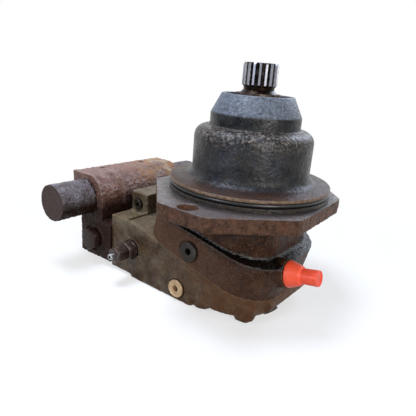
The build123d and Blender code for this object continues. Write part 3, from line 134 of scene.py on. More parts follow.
def peg(*args, **kwargs):
    return newShape(drum, *args, **kwargs)


def slab(low, high, left=-300, right=300, place=Matrix()):  # a flat cut right across a piece
    half = 200
    return newShape(roundedPrism, [(left, -half), (right, -half), (right, half), (left, half)], low, high, place)


def toObject(name, bm):
    mesh = bpy.data.meshes.new(name)
    bmesh.ops.scale(bm, vec=(mm, mm, mm), verts=bm.verts)
    bm.to_mesh(mesh)
    bm.free()
    piece = bpy.data.objects.new(name, mesh)
    scene.collection.objects.link(piece)
    return piece


def settle(piece):  # the modifiers' result becomes the piece's own mesh
    graph = bpy.context.evaluated_depsgraph_get()
    mesh = bpy.data.meshes.new_from_object(piece.evaluated_get(graph))
    old = piece.data
    piece.modifiers.clear()
    piece.data = mesh
    bpy.data.meshes.remove(old)


def carve(piece, cutters, operation="DIFFERENCE"):
    tools = []
    for number, bm in enumerate(cutters):
        tool = toObject(piece.name + ".cut" + str(number), bm)
        tool.hide_render = True
        step = piece.modifiers.new("cut" + str(number), "BOOLEAN")
        step.operation = operation
        step.solver = "MANIFOLD"
        step.object = tool
        tools.append(tool)
    settle(piece)
    for tool in tools:
        mesh = tool.data
        bpy.data.objects.remove(tool)
        bpy.data.meshes.remove(mesh)


def cast(piece, voxel, softness, grain, depth):  # rounds a rough shape and gives it a sand-cast skin
    shell = piece.modifiers.new("shell", "REMESH")
    shell.mode = "VOXEL"
    shell.voxel_size = voxel * mm
    soft = piece.modifiers.new("soft", "SMOOTH")
    soft.factor = 0.5
    soft.iterations = softness
    skin = bpy.data.textures.new(piece.name + ".skin", "CLOUDS")
    skin.noise_scale = grain * mm
    skin.noise_depth = 1
    lumps = piece.modifiers.new("lumps", "DISPLACE")
    lumps.texture = skin
    lumps.texture_coords = "LOCAL"
    lumps.strength = depth * mm
    lumps.mid_level = 0.9
    settle(piece)


def addTo(piece, other):  # joins one more shape to a mesh that is already in metres
    bmesh.ops.scale(other, vec=(mm, mm, mm), verts=other.verts)
    bm = bmesh.new()
    bm.from_mesh(piece.data)
    joinInto(bm, other)
    bm.to_mesh(piece.data)
    bm.free()


def hexHead(name, key, low, high, place, shank=None, lip=1.6):  # chamfered hexagon, with a round shank below it
    piece = toObject(name, peg(key / sqrt(3), low, high, place, segments=6))
    shoulder = high - (key / 2 + lip) / 2
    dome = newShape(turned, [(0, low - 1, 0), (key, low - 1, 0), (key, shoulder, 0), (key / 2 - lip, high, 0),
                             (0, high, 0)], place, steps=64)
    carve(piece, [dome], "INTERSECT")
    edges = piece.modifiers.new("edges", "BEVEL")
    edges.width = 0.35 * mm
    edges.segments = 2
    edges.limit_method = "ANGLE"
    settle(piece)
    if shank:
        radius, bottom = shank
        addTo(piece, peg(radius, bottom, low + 0.5, place, segments=48))
    return piece


def finish(piece, body, material, nodes=(), angle=40):
    piece.data.materials.clear()
    piece.data.materials.append(material)
    piece.data.polygons.foreach_set("use_smooth", [True] * len(piece.data.polygons))
    piece.data.set_sharp_from_angle(angle=radians(angle))
    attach(piece, body)
    if nodes:
        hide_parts(*nodes)


def linear(code):  # sRGB hex to linear colour
    parts = [int(code[i:i + 2], 16) / 255 for i in (1, 3, 5)]
    return tuple(c / 12.92 if c < 0.04045 else ((c + 0.055) / 1.055) ** 2.4 for c in parts) + (1,)


def addNode(tree, kind, values=None, links=None, stops=(), **settings):
    node = tree.nodes.new("ShaderNode" + kind)
    for key, value in settings.items():
        setattr(node, key, value)
    for key, value in (values or {}).items():
        node.inputs[key].default_value = value
    for key, source in (links or {}).items():
        tree.links.new(source, node.inputs[key])
    if stops:  # colours or greys of a ramp
        elements = node.color_ramp.elements
        while len(elements) < len(stops):
            elements.new(0.5)
        for element, (place, tone) in zip(elements, stops):
            element.position = place
            element.color = linear(tone) if isinstance(tone, str) else (tone, tone, tone, 1)
    return node


def newMaterial(name):
    material = bpy.data.materials.new(name)
    material.use_nodes = True
    tree = material.node_tree
    tree.nodes.clear()
    shader = addNode(tree, "BsdfPrincipled")
    addNode(tree, "OutputMaterial", links={0: shader.outputs[0]})
    place = addNode(tree, "TexCoord").outputs["Object"]
    return material, tree, shader, place


def patchy(tree, place, size, stops, detail=3.0, rough=0.55, offset=0.0):  # cloudy patches this many mm across
    moved = addNode(tree, "Mapping", {"Location": (offset, offset * 0.7, -offset)}, {0: place}).outputs[0]
    noise = addNode(tree, "TexNoise", {"Scale": 1 / (size * mm), "Detail": detail, "Roughness": rough},
                    {"Vector": moved}).outputs[0]
    return addNode(tree, "ValToRGB", links={0: noise}, stops=stops).outputs[0]


upward = (0, 0, 1)  # directions of the zones in a finish
fromAxis = (1, 1, 0)  # stands for the distance from the shaft axis


def castIron(look):  # sand-cast iron under old paint, oil and rust: blotchy, grainy, pale where it is rubbed
    material, tree, shader, place = newMaterial(look["name"])
    colour = patchy(tree, place, look["patch"], look["body"], detail=6.0, rough=0.68)
    flecks = patchy(tree, place, look["fleck"], [(look["fleckStart"], 0.0), (look["fleckEnd"], 1.0)],
                    detail=6.0, rough=0.75, offset=0.3)

    geometry = addNode(tree, "NewGeometry").outputs
    rounded = addNode(tree, "Bevel", {"Radius": look["edgeSize"] * mm}, samples=4).outputs[0]
    facing = addNode(tree, "VectorMath", links={0: rounded, 1: geometry["Normal"]},
                     operation="DOT_PRODUCT").outputs["Value"]  # falls below 1 near an edge
    bare = addNode(tree, "ValToRGB", links={0: facing}, stops=[(0.8, 1.0), (0.97, 0.0)]).outputs[0]
    peaks = addNode(tree, "ValToRGB", links={0: geometry["Pointiness"]}, stops=[(0.52, 0.0), (0.6, 0.7)]).outputs[0]
    bare = addNode(tree, "Math", links={0: bare, 1: peaks}, operation="MAXIMUM").outputs[0]
    rubbed = patchy(tree, place, 6, [(0.36, 0.2), (0.58, 1.0)], detail=5.0, rough=0.7, offset=0.8)
    bare = addNode(tree, "Math", links={0: bare, 1: rubbed}, operation="MULTIPLY").outputs[0]

    # painted shade: creases (low pointiness) and corners found by ambient occlusion are darkened in the base colour,
    # along with dark pits
    grimeAndShade = addNode(tree, "ValToRGB", links={0: geometry["Pointiness"]}, stops=[(0.40, 1.0), (0.49, 0.0)]).outputs[0]
    openness = addNode(tree, "AmbientOcclusion", {"Distance": 7 * mm}, samples=4).outputs["AO"]
    corners = addNode(tree, "ValToRGB", links={0: openness}, stops=[(0.35, 0.9), (0.75, 0.0)]).outputs[0]
    pits = patchy(tree, place, look["pit"], [(0.34, 0.85), (0.44, 0.0)], detail=3.0, rough=0.6, offset=0.17)
    for more in (corners, pits):  # dark pits, with painted shade in creases and corners
        grimeAndShade = addNode(tree, "Math", links={0: grimeAndShade, 1: more}, operation="MAXIMUM").outputs[0]

    for amount, tone in ((flecks, look["rust"]), (bare, look["edge"]), (grimeAndShade, look["dirtAndShade"])):
        colour = addNode(tree, "Mix", {7: linear(tone)}, {0: amount, 6: colour}, data_type="RGBA").outputs[2]
    rough = patchy(tree, place, look["patch"] * 0.4, look["rough"], detail=5.0, rough=0.7, offset=0.5)
    gloss = patchy(tree, place, look["patch"] * 0.7, look["gloss"], detail=5.0, rough=0.7, offset=0.9)
    for zone in look["zones"]:  # places where the finish differs, within a band or where two bands cross
        here = patchy(tree, place, zone["size"], zone["broken"], detail=8.0, rough=0.78, offset=zone["from"] * 0.013)
        for limit in [zone, zone["second"]] if "second" in zone else [zone]:
            if limit["along"] == fromAxis:
                flat = addNode(tree, "VectorMath", {1: fromAxis}, {0: place}, operation="MULTIPLY").outputs[0]
                reach = addNode(tree, "VectorMath", links={0: flat}, operation="LENGTH").outputs["Value"]
            else:
                reach = addNode(tree, "VectorMath", {1: limit["along"]}, {0: place},
                                operation="DOT_PRODUCT").outputs["Value"]
            share = addNode(tree, "MapRange", {1: limit["from"] * mm, 2: limit["to"] * mm}, {0: reach}).outputs[0]
            band = addNode(tree, "ValToRGB", links={0: share}, stops=limit["band"]).outputs[0]
            here = addNode(tree, "Math", links={0: here, 1: band}, operation="MULTIPLY").outputs[0]
        colour = addNode(tree, "Mix", {7: linear(zone["colour"])}, {0: here, 6: colour}, data_type="RGBA").outputs[2]
        rough = addNode(tree, "Mix", {3: zone["rough"]}, {0: here, 2: rough}, data_type="FLOAT").outputs[0]
        gloss = addNode(tree, "Mix", {3: zone["gloss"]}, {0: here, 2: gloss}, data_type="FLOAT").outputs[0]
    tree.links.new(colour, shader.inputs["Base Color"])
    tree.links.new(rough, shader.inputs["Roughness"])
    tree.links.new(gloss, shader.inputs["Specular IOR Level"])

    grit = addNode(tree, "TexNoise", {"Scale": 1 / (look["grit"] * mm), "Detail": 4.0, "Roughness": 0.6},
                   {"Vector": place}).outputs[0]
    dents = addNode(tree, "TexNoise", {"Scale": 1 / (look["dent"] * mm), "Detail": 3.0}, {"Vector": place}).outputs[0]
    bump = addNode(tree, "Bump", {"Strength": look["bump"], "Distance": 0.6 * mm}, {"Height": grit}).outputs[0]
    bump = addNode(tree, "Bump", {"Strength": look["bump"] * 0.8, "Distance": 1.6 * mm},
                   {"Height": dents, "Normal": bump}).outputs[0]
    tree.links.new(bump, shader.inputs["Normal"])
    return material


def smoothFinish(look):  # turned, drawn or moulded surface: even, with smears, and with grime and painted shade darkening the corners
    material, tree, shader, place = newMaterial(look["name"])
    colour = patchy(tree, place, look["patch"], look["body"], detail=5.0, rough=0.62)
    smears = patchy(tree, place, look["stainSize"], [(look["stainStart"], 0.0), (look["stainStart"] + 0.12, 1.0)],
                    detail=6.0, rough=0.7, offset=0.4)
    # painted shade: corners found by ambient occlusion are darkened in the base colour
    openness = addNode(tree, "AmbientOcclusion", {"Distance": 4 * mm}, samples=4).outputs["AO"]
    corners = addNode(tree, "ValToRGB", links={0: openness}, stops=[(0.25, 0.95), (0.7, 0.0)]).outputs[0]
    for amount, tone in ((smears, look["stain"]), (corners, look["dirtAndShade"])):
        colour = addNode(tree, "Mix", {7: linear(tone)}, {0: amount, 6: colour}, data_type="RGBA").outputs[2]
    rough = patchy(tree, place, look["patch"] * 0.5, look["rough"], detail=5.0, rough=0.6, offset=0.2)
    tree.links.new(colour, shader.inputs["Base Color"])
    tree.links.new(rough, shader.inputs["Roughness"])
    shader.inputs["Metallic"].default_value = look["metal"]
    grit = addNode(tree, "TexNoise", {"Scale": 1 / (look["grit"] * mm), "Detail": 4.0}, {"Vector": place}).outputs[0]
    bump = addNode(tree, "Bump", {"Strength": look["bump"], "Distance": 0.3 * mm}, {"Height": grit}).outputs[0]
    tree.links.new(bump, shader.inputs["Normal"])
    return material


tilt = radians(13.66)  # of the joint between housing and port plate
jointNormal = (sin(tilt), 0, cos(tilt))
ledge = radians(11.3)  # of the upper edge of the housing's band
ledgeNormal = (sin(ledge), 0, cos(ledge))

nosePaint = castIron({  # dark blue-black enamel on cast iron, rubbed to brown primer and iron
    "name": "worn blue-black enamel", "patch": 30,
    "body": [(0.3, "#08090b"), (0.5, "#0f1217"), (0.7, "#1f2630")],
    "fleck": 2.2, "fleckStart": 0.57, "fleckEnd": 0.70, "rust": "#4a443f", "edge": "#7d6c5b", "edgeSize": 2.0,
    "dirtAndShade": "#070606", "pit": 1.9, "rough": [(0.35, 0.24), (0.65, 0.4)], "gloss": [(0.35, 0.1), (0.65, 0.4)],
    "grit": 1.5, "dent": 4.0, "bump": 0.7,
    "zones": [
        {"along": upward, "from": 52, "to": 84,
         "band": [(0.0, 0.0), (0.4, 0.7), (0.56, 1.0), (0.7, 0.9), (0.76, 0.0)],
         "size": 3.2, "broken": [(0.50, 0.0), (0.60, 0.85)], "colour": "#8d8176", "rough": 0.4, "gloss": 0.35},
        {"along": upward, "from": 16, "to": 58, "band": [(0.0, 0.0), (0.2, 0.8), (0.8, 0.8), (1.0, 0.0)],
         "size": 18, "broken": [(0.52, 0.0), (0.66, 0.6)], "colour": "#3a2d25", "rough": 0.45, "gloss": 0.2},
        {"along": upward, "from": 12, "to": 22, "band": [(0.0, 1.0), (0.2, 1.0), (0.7, 0.0)],
         "size": 14, "broken": [(0.36, 0.3), (0.6, 0.95)], "colour": "#452e1f", "rough": 0.42, "gloss": 0.1},
        {"along": upward, "from": 78, "to": 112, "band": [(0.0, 0.0), (0.30, 0.0), (0.36, 1.0), (1.0, 1.0)],
         "size": 3.2, "broken": [(0.38, 0.2), (0.60, 1.0)], "colour": "#68717f", "rough": 0.5, "gloss": 0.5},
        {"along": upward, "from": 10, "to": 14.4, "band": [(0.0, 1.0), (0.78, 1.0), (0.95, 0.0)],
         "size": 4, "broken": [(0.40, 0.25), (0.58, 1.0)], "colour": "#806a56", "rough": 0.4, "gloss": 0.3},
        {"along": upward, "from": 10.4, "to": 9.6, "band": [(0.0, 0.0), (1.0, 1.0)],
         "size": 9, "broken": [(0.3, 0.75), (0.6, 1.0)], "colour": "#141210", "rough": 0.3, "gloss": 0.3},
    ]})
housingIron = castIron({  # bare rusted casting, oily under the flange; the black band on the ledge below the neck is oil and painted shade
    "name": "oily rusted cast iron", "patch": 20,
    "body": [(0.3, "#1a0d07"), (0.5, "#2d1a10"), (0.7, "#4a2f1e")],
    "fleck": 2.6, "fleckStart": 0.52, "fleckEnd": 0.64, "rust": "#5f3f29", "edge": "#8f7056", "edgeSize": 1.6,
    "dirtAndShade": "#0b0604", "pit": 2.2, "rough": [(0.35, 0.34), (0.65, 0.58)], "gloss": [(0.35, 0.06), (0.65, 0.25)],
    "grit": 1.6, "dent": 3.0, "bump": 1.0,
    "zones": [
        {"along": jointNormal, "from": -92, "to": -44, "band": [(0.0, 1.0), (0.8, 1.0), (0.9, 0.0)],
         "second": {"along": (1, 0, 0), "from": -60, "to": 50, "band": [(0.0, 1.0), (0.5, 0.7), (1.0, 0.2)]},
         "size": 3.2, "broken": [(0.34, 0.3), (0.58, 0.9)], "colour": "#624634", "rough": 0.5, "gloss": 0.15},
        # near-black, glossy band on the ledge below the neck: an oil film, and painted shade
        {"along": ledgeNormal, "from": -49, "to": -43,
         "band": [(0.0, 0.0), (0.35, 1.0), (0.7, 1.0), (1.0, 0.0)],
         "size": 16, "broken": [(0.25, 0.6), (0.5, 1.0)], "colour": "#050403", "rough": 0.18, "gloss": 0.45},
        {"along": upward, "from": -19, "to": -16, "band": [(0.0, 0.0), (0.6, 0.9), (1.0, 0.9)],
         "size": 9, "broken": [(0.40, 0.0), (0.58, 0.95)], "colour": "#644535", "rough": 0.5, "gloss": 0.2},
        {"along": upward, "from": -1.0, "to": -0.3, "band": [(0.0, 0.0), (1.0, 1.0)],
         "size": 7, "broken": [(0.36, 0.3), (0.58, 1.0)], "colour": "#5f5a5c", "rough": 0.28, "gloss": 0.8},
        {"along": fromAxis, "from": 92, "to": 108, "band": [(0.0, 1.0), (0.5, 0.8), (1.0, 0.0)],
         "second": {"along": upward, "from": -1.0, "to": -0.3, "band": [(0.0, 0.0), (1.0, 1.0)]},
         "size": 12, "broken": [(0.3, 0.6), (0.6, 1.0)], "colour": "#191512", "rough": 0.28, "gloss": 0.5},
    ]})
plateIron = castIron({  # machined and oil-soaked casting, olive grey with brown stains, darker towards the bottom: painted shade with brown staining
    "name": "oil-stained grey iron", "patch": 22,
    "body": [(0.3, "#2b1d11"), (0.5, "#4a3927"), (0.72, "#6d5d46")],
    "fleck": 6.0, "fleckStart": 0.54, "fleckEnd": 0.68, "rust": "#54331b", "edge": "#9c8b73", "edgeSize": 2.0,
    "dirtAndShade": "#140c07", "pit": 3.0, "rough": [(0.35, 0.22), (0.65, 0.48)], "gloss": [(0.35, 0.1), (0.65, 0.4)],
    "grit": 1.4, "dent": 4.2, "bump": 0.7,
    "zones": [
        {"along": (1, 0, 0), "from": -60, "to": 20, "band": [(0.0, 0.0), (1.0, 1.0)],
         "size": 3.2, "broken": [(0.38, 0.15), (0.6, 0.9)], "colour": "#5f3b21", "rough": 0.5, "gloss": 0.15},
        {"along": upward, "from": -74, "to": -54, "band": [(0.0, 0.0), (0.7, 1.0), (1.0, 0.6)],
         "size": 14, "broken": [(0.4, 0.1), (0.6, 0.8)], "colour": "#75694f", "rough": 0.26, "gloss": 0.5},
        # darker and browner towards the bottom: painted shade with brown staining
        {"along": upward, "from": -104, "to": -134, "band": [(0.0, 0.0), (1.0, 1.0)],
         "size": 12, "broken": [(0.42, 0.0), (0.62, 0.9)], "colour": "#2e1a0c", "rough": 0.6, "gloss": 0.15},
    ]})
valveIron = castIron({  # hammered, rusted casting with a purple-grey sheen and ochre patches, darker and browner towards the bottom: rust and painted shade
    "name": "hammered rusty iron", "patch": 16, "body": [(0.3, "#4a2e23"), (0.5, "#6d4f45"), (0.72, "#927a74")],
    "fleck": 3.4, "fleckStart": 0.52, "fleckEnd": 0.66, "rust": "#73482c", "edge": "#bba49c", "edgeSize": 1.6,
    "dirtAndShade": "#1d0f09", "pit": 2.4, "rough": [(0.35, 0.26), (0.65, 0.5)], "gloss": [(0.35, 0.2), (0.65, 0.6)],
    "grit": 1.6, "dent": 3.8, "bump": 1.0,
    "zones": [
        {"along": upward, "from": -15.5, "to": -14.0, "band": [(0.0, 0.0), (1.0, 0.8)],
         "size": 18, "broken": [(0.3, 0.5), (0.6, 0.9)], "colour": "#8f7068", "rough": 0.5, "gloss": 0.4},
        {"along": (0, 1, 0), "from": -20, "to": 70, "band": [(0.0, 0.0), (0.45, 1.0), (1.0, 1.0)],
         "second": {"along": upward, "from": -40, "to": -20, "band": [(0.0, 0.0), (0.8, 1.0)]},
         "size": 26, "broken": [(0.44, 0.0), (0.6, 0.9)], "colour": "#9c6a30", "rough": 0.45, "gloss": 0.3},
        {"along": (0, 1, 0), "from": 20, "to": 90, "band": [(0.0, 0.0), (0.5, 1.0), (1.0, 1.0)],
         "second": {"along": upward, "from": -50, "to": -24, "band": [(0.0, 0.0), (0.8, 1.0)]},
         "size": 15, "broken": [(0.5, 0.0), (0.66, 0.85)], "colour": "#b8a888", "rough": 0.32, "gloss": 0.5},
        # darker and browner towards the bottom: rust, and painted shade on the underside
        {"along": upward, "from": -40, "to": -56, "band": [(0.0, 0.0), (1.0, 1.0)],
         "size": 20, "broken": [(0.2, 0.6), (0.5, 1.0)], "colour": "#25120a", "rough": 0.5, "gloss": 0.15},
    ]})
capIron = castIron({  # rough forged cap, grey-purple above, darker and rust-brown below: rust and painted shade
    "name": "rough forged steel", "patch": 12, "body": [(0.3, "#3b3334"), (0.5, "#575054"), (0.72, "#7d7a83")],
    "fleck": 2.8, "fleckStart": 0.54, "fleckEnd": 0.68, "rust": "#553a2c", "edge": "#9d979b", "edgeSize": 1.6,
    "dirtAndShade": "#180f0b", "pit": 2.4, "rough": [(0.35, 0.26), (0.65, 0.46)], "gloss": [(0.35, 0.2), (0.65, 0.6)],
    "grit": 1.6, "dent": 3.6, "bump": 1.0,
    "zones": [
        # darker and browner towards the bottom: rust, and painted shade on the underside
        {"along": upward, "from": -40, "to": -52, "band": [(0.0, 0.0), (1.0, 1.0)],
         "size": 12, "broken": [(0.25, 0.65), (0.5, 1.0)], "colour": "#1f0e06", "rough": 0.55, "gloss": 0.12},
        {"along": (0, 1, 0), "from": -133.2, "to": -134.0, "band": [(0.0, 0.0), (1.0, 1.0)],
         "size": 16, "broken": [(0.3, 0.85), (0.5, 1.0)], "colour": "#41322f", "rough": 0.6, "gloss": 0.2},
        # relief hexes darker below this height: painted shade in their recess, with rust
        {"along": upward, "from": -80, "to": -86, "band": [(0.0, 0.0), (1.0, 1.0)],
         "size": 12, "broken": [(0.3, 0.8), (0.6, 1.0)], "colour": "#27160f", "rough": 0.45, "gloss": 0.25},
    ]})
brightSteel = smoothFinish({  # ground steel, bright under a thin film of oil
    "name": "ground shaft steel", "dirtAndShade": "#17110d", "patch": 8,
    "body": [(0.3, "#6d6c6b"), (0.6, "#a5a5a6"), (0.8, "#c9cacc")],
    "stainSize": 7, "stainStart": 0.58, "stain": "#3c332c", "rough": [(0.3, 0.2), (0.7, 0.38)], "metal": 1.0,
    "grit": 0.6, "bump": 0.25})
machinedSteel = smoothFinish({  # turned steel dulled by old oil
    "name": "oiled machined steel", "dirtAndShade": "#17110d", "patch": 12,
    "body": [(0.3, "#55524e"), (0.6, "#7d7a76"), (0.8, "#96938f")],
    "stainSize": 9, "stainStart": 0.56, "stain": "#3a2f27", "rough": [(0.3, 0.26), (0.7, 0.45)], "metal": 1.0,
    "grit": 0.7, "bump": 0.25})
platedSteel = smoothFinish({  # old zinc plating, grey-brown with rust in the corners
    "name": "rusted zinc-plated steel", "dirtAndShade": "#140b07", "patch": 6,
    "body": [(0.3, "#2a201b"), (0.55, "#4d433e"), (0.75, "#7d7674")],
    "stainSize": 5, "stainStart": 0.5, "stain": "#4a3122", "rough": [(0.3, 0.3), (0.7, 0.55)], "metal": 0.75,
    "grit": 0.8, "bump": 0.6})
blackSteel = smoothFinish({  # blackened high-tensile steel, oily
    "name": "blackened screw steel", "dirtAndShade": "#060505", "patch": 6,
    "body": [(0.3, "#17140f"), (0.55, "#27221d"), (0.8, "#3a342e")],
    "stainSize": 6, "stainStart": 0.58, "stain": "#4d3b2c", "rough": [(0.3, 0.3), (0.7, 0.5)], "metal": 0.55,
    "grit": 0.8, "bump": 0.4})
springSteel = smoothFinish({  # drawn wire, dark and satin
    "name": "oil-tempered spring wire", "dirtAndShade": "#0f0c0a", "patch": 6,
    "body": [(0.3, "#34312f"), (0.6, "#4e4a47"), (0.8, "#66615d")],
    "stainSize": 8, "stainStart": 0.6, "stain": "#3b2d22", "rough": [(0.3, 0.28), (0.7, 0.42)], "metal": 0.9,
    "grit": 0.7, "bump": 0.25})
oldBrass = smoothFinish({  # tan brass, dull, with darker smears
    "name": "dull brass", "dirtAndShade": "#0f0a06", "patch": 8,
    "body": [(0.3, "#a98961"), (0.55, "#c7a882"), (0.8, "#dcc4a0")],
    "stainSize": 6, "stainStart": 0.58, "stain": "#6a4d30", "rough": [(0.3, 0.32), (0.7, 0.5)], "metal": 0.35,
    "grit": 0.8, "bump": 0.35})
nitrile = smoothFinish({  # black seal rubber with a film of oil
    "name": "nitrile rubber", "dirtAndShade": "#050505", "patch": 10,
    "body": [(0.3, "#0b0b0d"), (0.6, "#141517"), (0.8, "#1d1f22")],
    "stainSize": 10, "stainStart": 0.62, "stain": "#2a2420", "rough": [(0.3, 0.25), (0.7, 0.4)], "metal": 0.0,
    "grit": 0.9, "bump": 0.15})
orangePlastic = smoothFinish({  # soft moulded polyethylene, slightly dusty
    "name": "orange polyethylene", "dirtAndShade": "#a52a10", "patch": 14,
    "body": [(0.3, "#fb5232"), (0.55, "#ff5c3b"), (0.8, "#ff6c4c")],
    "stainSize": 9, "stainStart": 0.62, "stain": "#d94c2a", "rough": [(0.3, 0.36), (0.7, 0.5)], "metal": 0.0,
    "grit": 1.2, "bump": 0.12})
softInputs = orangePlastic.node_tree.nodes["Principled BSDF"].inputs  # light passes a little way in
softInputs["Subsurface Weight"].default_value = 0.15
softInputs["Subsurface Radius"].default_value = (0.004, 0.0015, 0.0008)
print("materials made")

# places that several pieces share
front = (0, -1, 0)
sideways = axisPlace((0, 0, 0), front)  # local X and Y to the frame's X and Z
swing = {"centre": (0, 0, 4), "angle": radians(25)}  # of the cylinder block on its lens
jointFace = {"height": -88.4, "corners": [(-113, -80), (79, -80), (66, 80), (-113, 80)], "round": 54, "steps": 14}
jointPlace = Matrix.Translation((0, 0, jointFace["height"])) @ Matrix.Rotation(tilt, 4, "Y")
drainPort = {"at": (66, -32, -76), "rise": radians(11.5), "boss": 17.0, "face": 17.5, "bore": 11.0}
drainPlace = axisPlace(drainPort["at"], (cos(drainPort["rise"]), 0, sin(drainPort["rise"])))
plugs = {  # spotface and bore in the casting, then the plug's own head, socket, thread and depth
    "drain_plug": {"place": axisPlace((-21, -80, -66), front), "spot": 14.5, "bore": 9.1, "boreDepth": 16.0,
                   "head": 12.0, "key": 8.0, "thread": 9.0, "depth": 12.0},
    "gauge_plug": {"place": axisPlace((-37, -80, -120), front), "spot": 13.5, "bore": 8.1, "boreDepth": 16.0,
                   "head": 11.0, "key": 8.0, "thread": 8.0, "depth": 12.0},
    "boss_plug": {"place": axisPlace((-141, -47, -46.5), front), "spot": 9.5, "bore": 5.1, "boreDepth": 13.0,
                  "head": 7.0, "key": 5.0, "thread": 5.0, "depth": 9.0},
    "end_plug": {"place": axisPlace((65.4, -30, -125.8), (17, 0, -21.14)), "spot": 11.5, "bore": 6.6,
                 "boreDepth": 13.0, "head": 9.0, "key": 6.0, "thread": 6.5, "depth": 9.0}}


def seatCuts(plug, segments=40):  # spotface and bore of a screw plug
    return [peg(plug["spot"], -1.5, 12, plug["place"]),
            peg(plug["bore"], -plug["boreDepth"], 5, plug["place"], segments=segments)]


# motor housing: turned nose, then the casting with flange, neck and joint band
nose = {"pilot": 95.0, "pilotTop": 14.0, "groove": 89.6, "grooveLow": 5.0, "grooveHigh": 10.6,
        "barrel": 69.5, "barrelLow": 17.6, "barrelHigh": 73.0, "step": 53.6, "stepHigh": 74.2,
        "collar": 52.4, "collarLow": 77.0, "collarHigh": 88.2, "top": 41.3, "height": 110.4,
        "bore": 37.5, "boreFloor": 74.0, "clip": 39.3, "clipLow": 107.3, "clipHigh": 109.2, "shaftHole": 31.5,
        "bearing": 47.0, "bearingTop": 59.75, "cavity": 55.0, "cavityTop": 57.75, "wall": 56.2, "wallTop": 25.0,
        "foot": -1.0, "steps": 160}
outline = [  # radius, height and rounding, up the outside and down the bore
    ("wall", "foot", 0), ("pilot", "foot", 0), ("pilot", "grooveLow", 0.5), ("groove", "grooveLow", 0),
    ("groove", "grooveHigh", 0), ("pilot", "grooveHigh", 0.5), ("pilot", "pilotTop", 1.2),
    ("barrel", "barrelLow", 9.5), ("barrel", "barrelHigh", 12.0), ("step", "stepHigh", 1.6),
    ("collar", "collarLow", 1.0), ("collar", "collarHigh", 0.9), ("top", "height", 1.0), ("bore", "height", 0.8),
    ("bore", "clipHigh", 0), ("clip", "clipHigh", 0), ("clip", "clipLow", 0), ("bore", "clipLow", 0),
    ("bore", "boreFloor", 0), ("shaftHole", "boreFloor", 0), ("shaftHole", "bearingTop", 0),
    ("bearing", "bearingTop", 0), ("bearing", "cavityTop", 0), ("cavity", "cavityTop", 0),
    ("cavity", "wallTop", 0), ("wall", "wallTop", 0)]
bm = newShape(turned, [(nose[radius], nose[height], size) for radius, height, size in outline], steps=nose["steps"])
motorNose = toObject("motor_nose", bm)
finish(motorNose, "housing", nosePaint, ["motor_housing"], angle=30)

housing = {"halfLength": 125.3, "halfWidth": 100.0, "corner": 69.0, "thick": 17.5, "farCut": (3.5, 5.0),
           "neck": [(-103, -74), (65, -74), (65, 74), (-103, 74)], "neckLow": -160, "neckHigh": -8, "neckRound": 48,
           "bandTop": 40.5, "cavity": 56.0, "swingBore": 54.0, "bolts": (112, -112), "boltHole": 11.0,
           "boltChamfer": 12.5, "pinHole": 3.0, "pinPlace": axisPlace((7, -80, -76.3), front),
           "skin": {"voxel": 1.5, "softness": 5, "grain": 4.6, "depth": 1.2}}
width, length = housing["halfWidth"], housing["halfLength"]
endHalf, sideHalf = width - housing["corner"], length - housing["corner"]
farIn, farDown = housing["farCut"]
bm = newShape(roundedPrism, [
    (width - farIn, sideHalf - farDown), (endHalf, length), (-endHalf, length), (-width, sideHalf),
    (-width, -sideHalf), (-endHalf, -length), (endHalf, -length), (width, -sideHalf)],
    -housing["thick"], 2.0, rounding=3, steps=3)
roundedPrism(bm, housing["neck"], housing["neckLow"], housing["neckHigh"], rounding=housing["neckRound"], steps=12)
band = newShape(roundedPrism, jointFace["corners"], -3, 60, jointPlace, jointFace["round"], jointFace["steps"])
sliced(band, jointPlace @ Vector((0, 0, housing["bandTop"])), ledgeNormal)
joinInto(bm, band)
drum(bm, drainPort["boss"], -12, drainPort["face"] + 1, drainPlace)
motorCasting = toObject("motor_casting", bm)
cast(motorCasting, **housing["skin"])
swungDown = axisPlace(swing["centre"], (-sin(swing["angle"]), 0, -cos(swing["angle"])))
cuts = [
    slab(0, 40),
    slab(-150, 0, place=jointPlace),
    peg(housing["cavity"], -160, 10),
    peg(housing["swingBore"], 0, 220, swungDown),
]
cuts += [peg(housing["boltHole"], -20, 5, Matrix.Translation((0, y, -1))) for y in housing["bolts"]]
cuts += [peg(housing["boltHole"], -0.8, 0.6, Matrix.Translation((0, y, 0)), top=housing["boltChamfer"])
         for y in housing["bolts"]]
cuts.append(peg(30, drainPort["face"], 30, drainPlace))
cuts.append(peg(drainPort["bore"], -25, 20, drainPlace))
cuts += seatCuts(plugs["drain_plug"], segments=72)
cuts.append(peg(housing["pinHole"], -0.9, 4, housing["pinPlace"], segments=24))
carve(motorCasting, cuts)
finish(motorCasting, "housing", housingIron, ["motor_housing"])
print("housing", len(motorCasting.data.polygons))

# port plate with control block, hump, keel and bolt bosses
plate = {"bottom": -136.0, "skirt": -126.0, "bossLow": -132.0, "deckEdge": -128.7, "valveFace": -157.0,
         "base": [(-120, -80), (-12, -80), (-12, 80), (-120, 80)], "baseTop": -90,
         "keel": [(-40, -136), (52.7, -136), (73.9, -119), (74, -108), (-40, -100)], "keelHalf": 45,
         "block": [(-159, -133), (-78, -133), (-78, -66), (-125, -55), (-128, -58), (-159, -58)], "blockHalf": 79,
         "hump": [(-156, -47), (-124, -47), (-124, 47), (-156, 47)], "humpLow": -75, "humpTop": -30,
         "rightBolts": [(8.0, -69.5), (8.0, 69.5), (56.82, -57.82), (43.82, 57.82)],
         "leftBolts": [(-58.0, -69.5), (-58.0, 69.5), (-90.82, -57.82), (-90.82, 57.82)],
         "boss": 12.0, "headHole": 8.4, "boltHole": 5.4, "headSeat": -22.0,
         "track": (109.05, 44.4), "lensRoom": (101.0, 53.0), "stroker": 10.05, "strokerHeight": -119.0,
         "skin": {"voxel": 1.5, "softness": 7, "grain": 6, "depth": 0.8}}
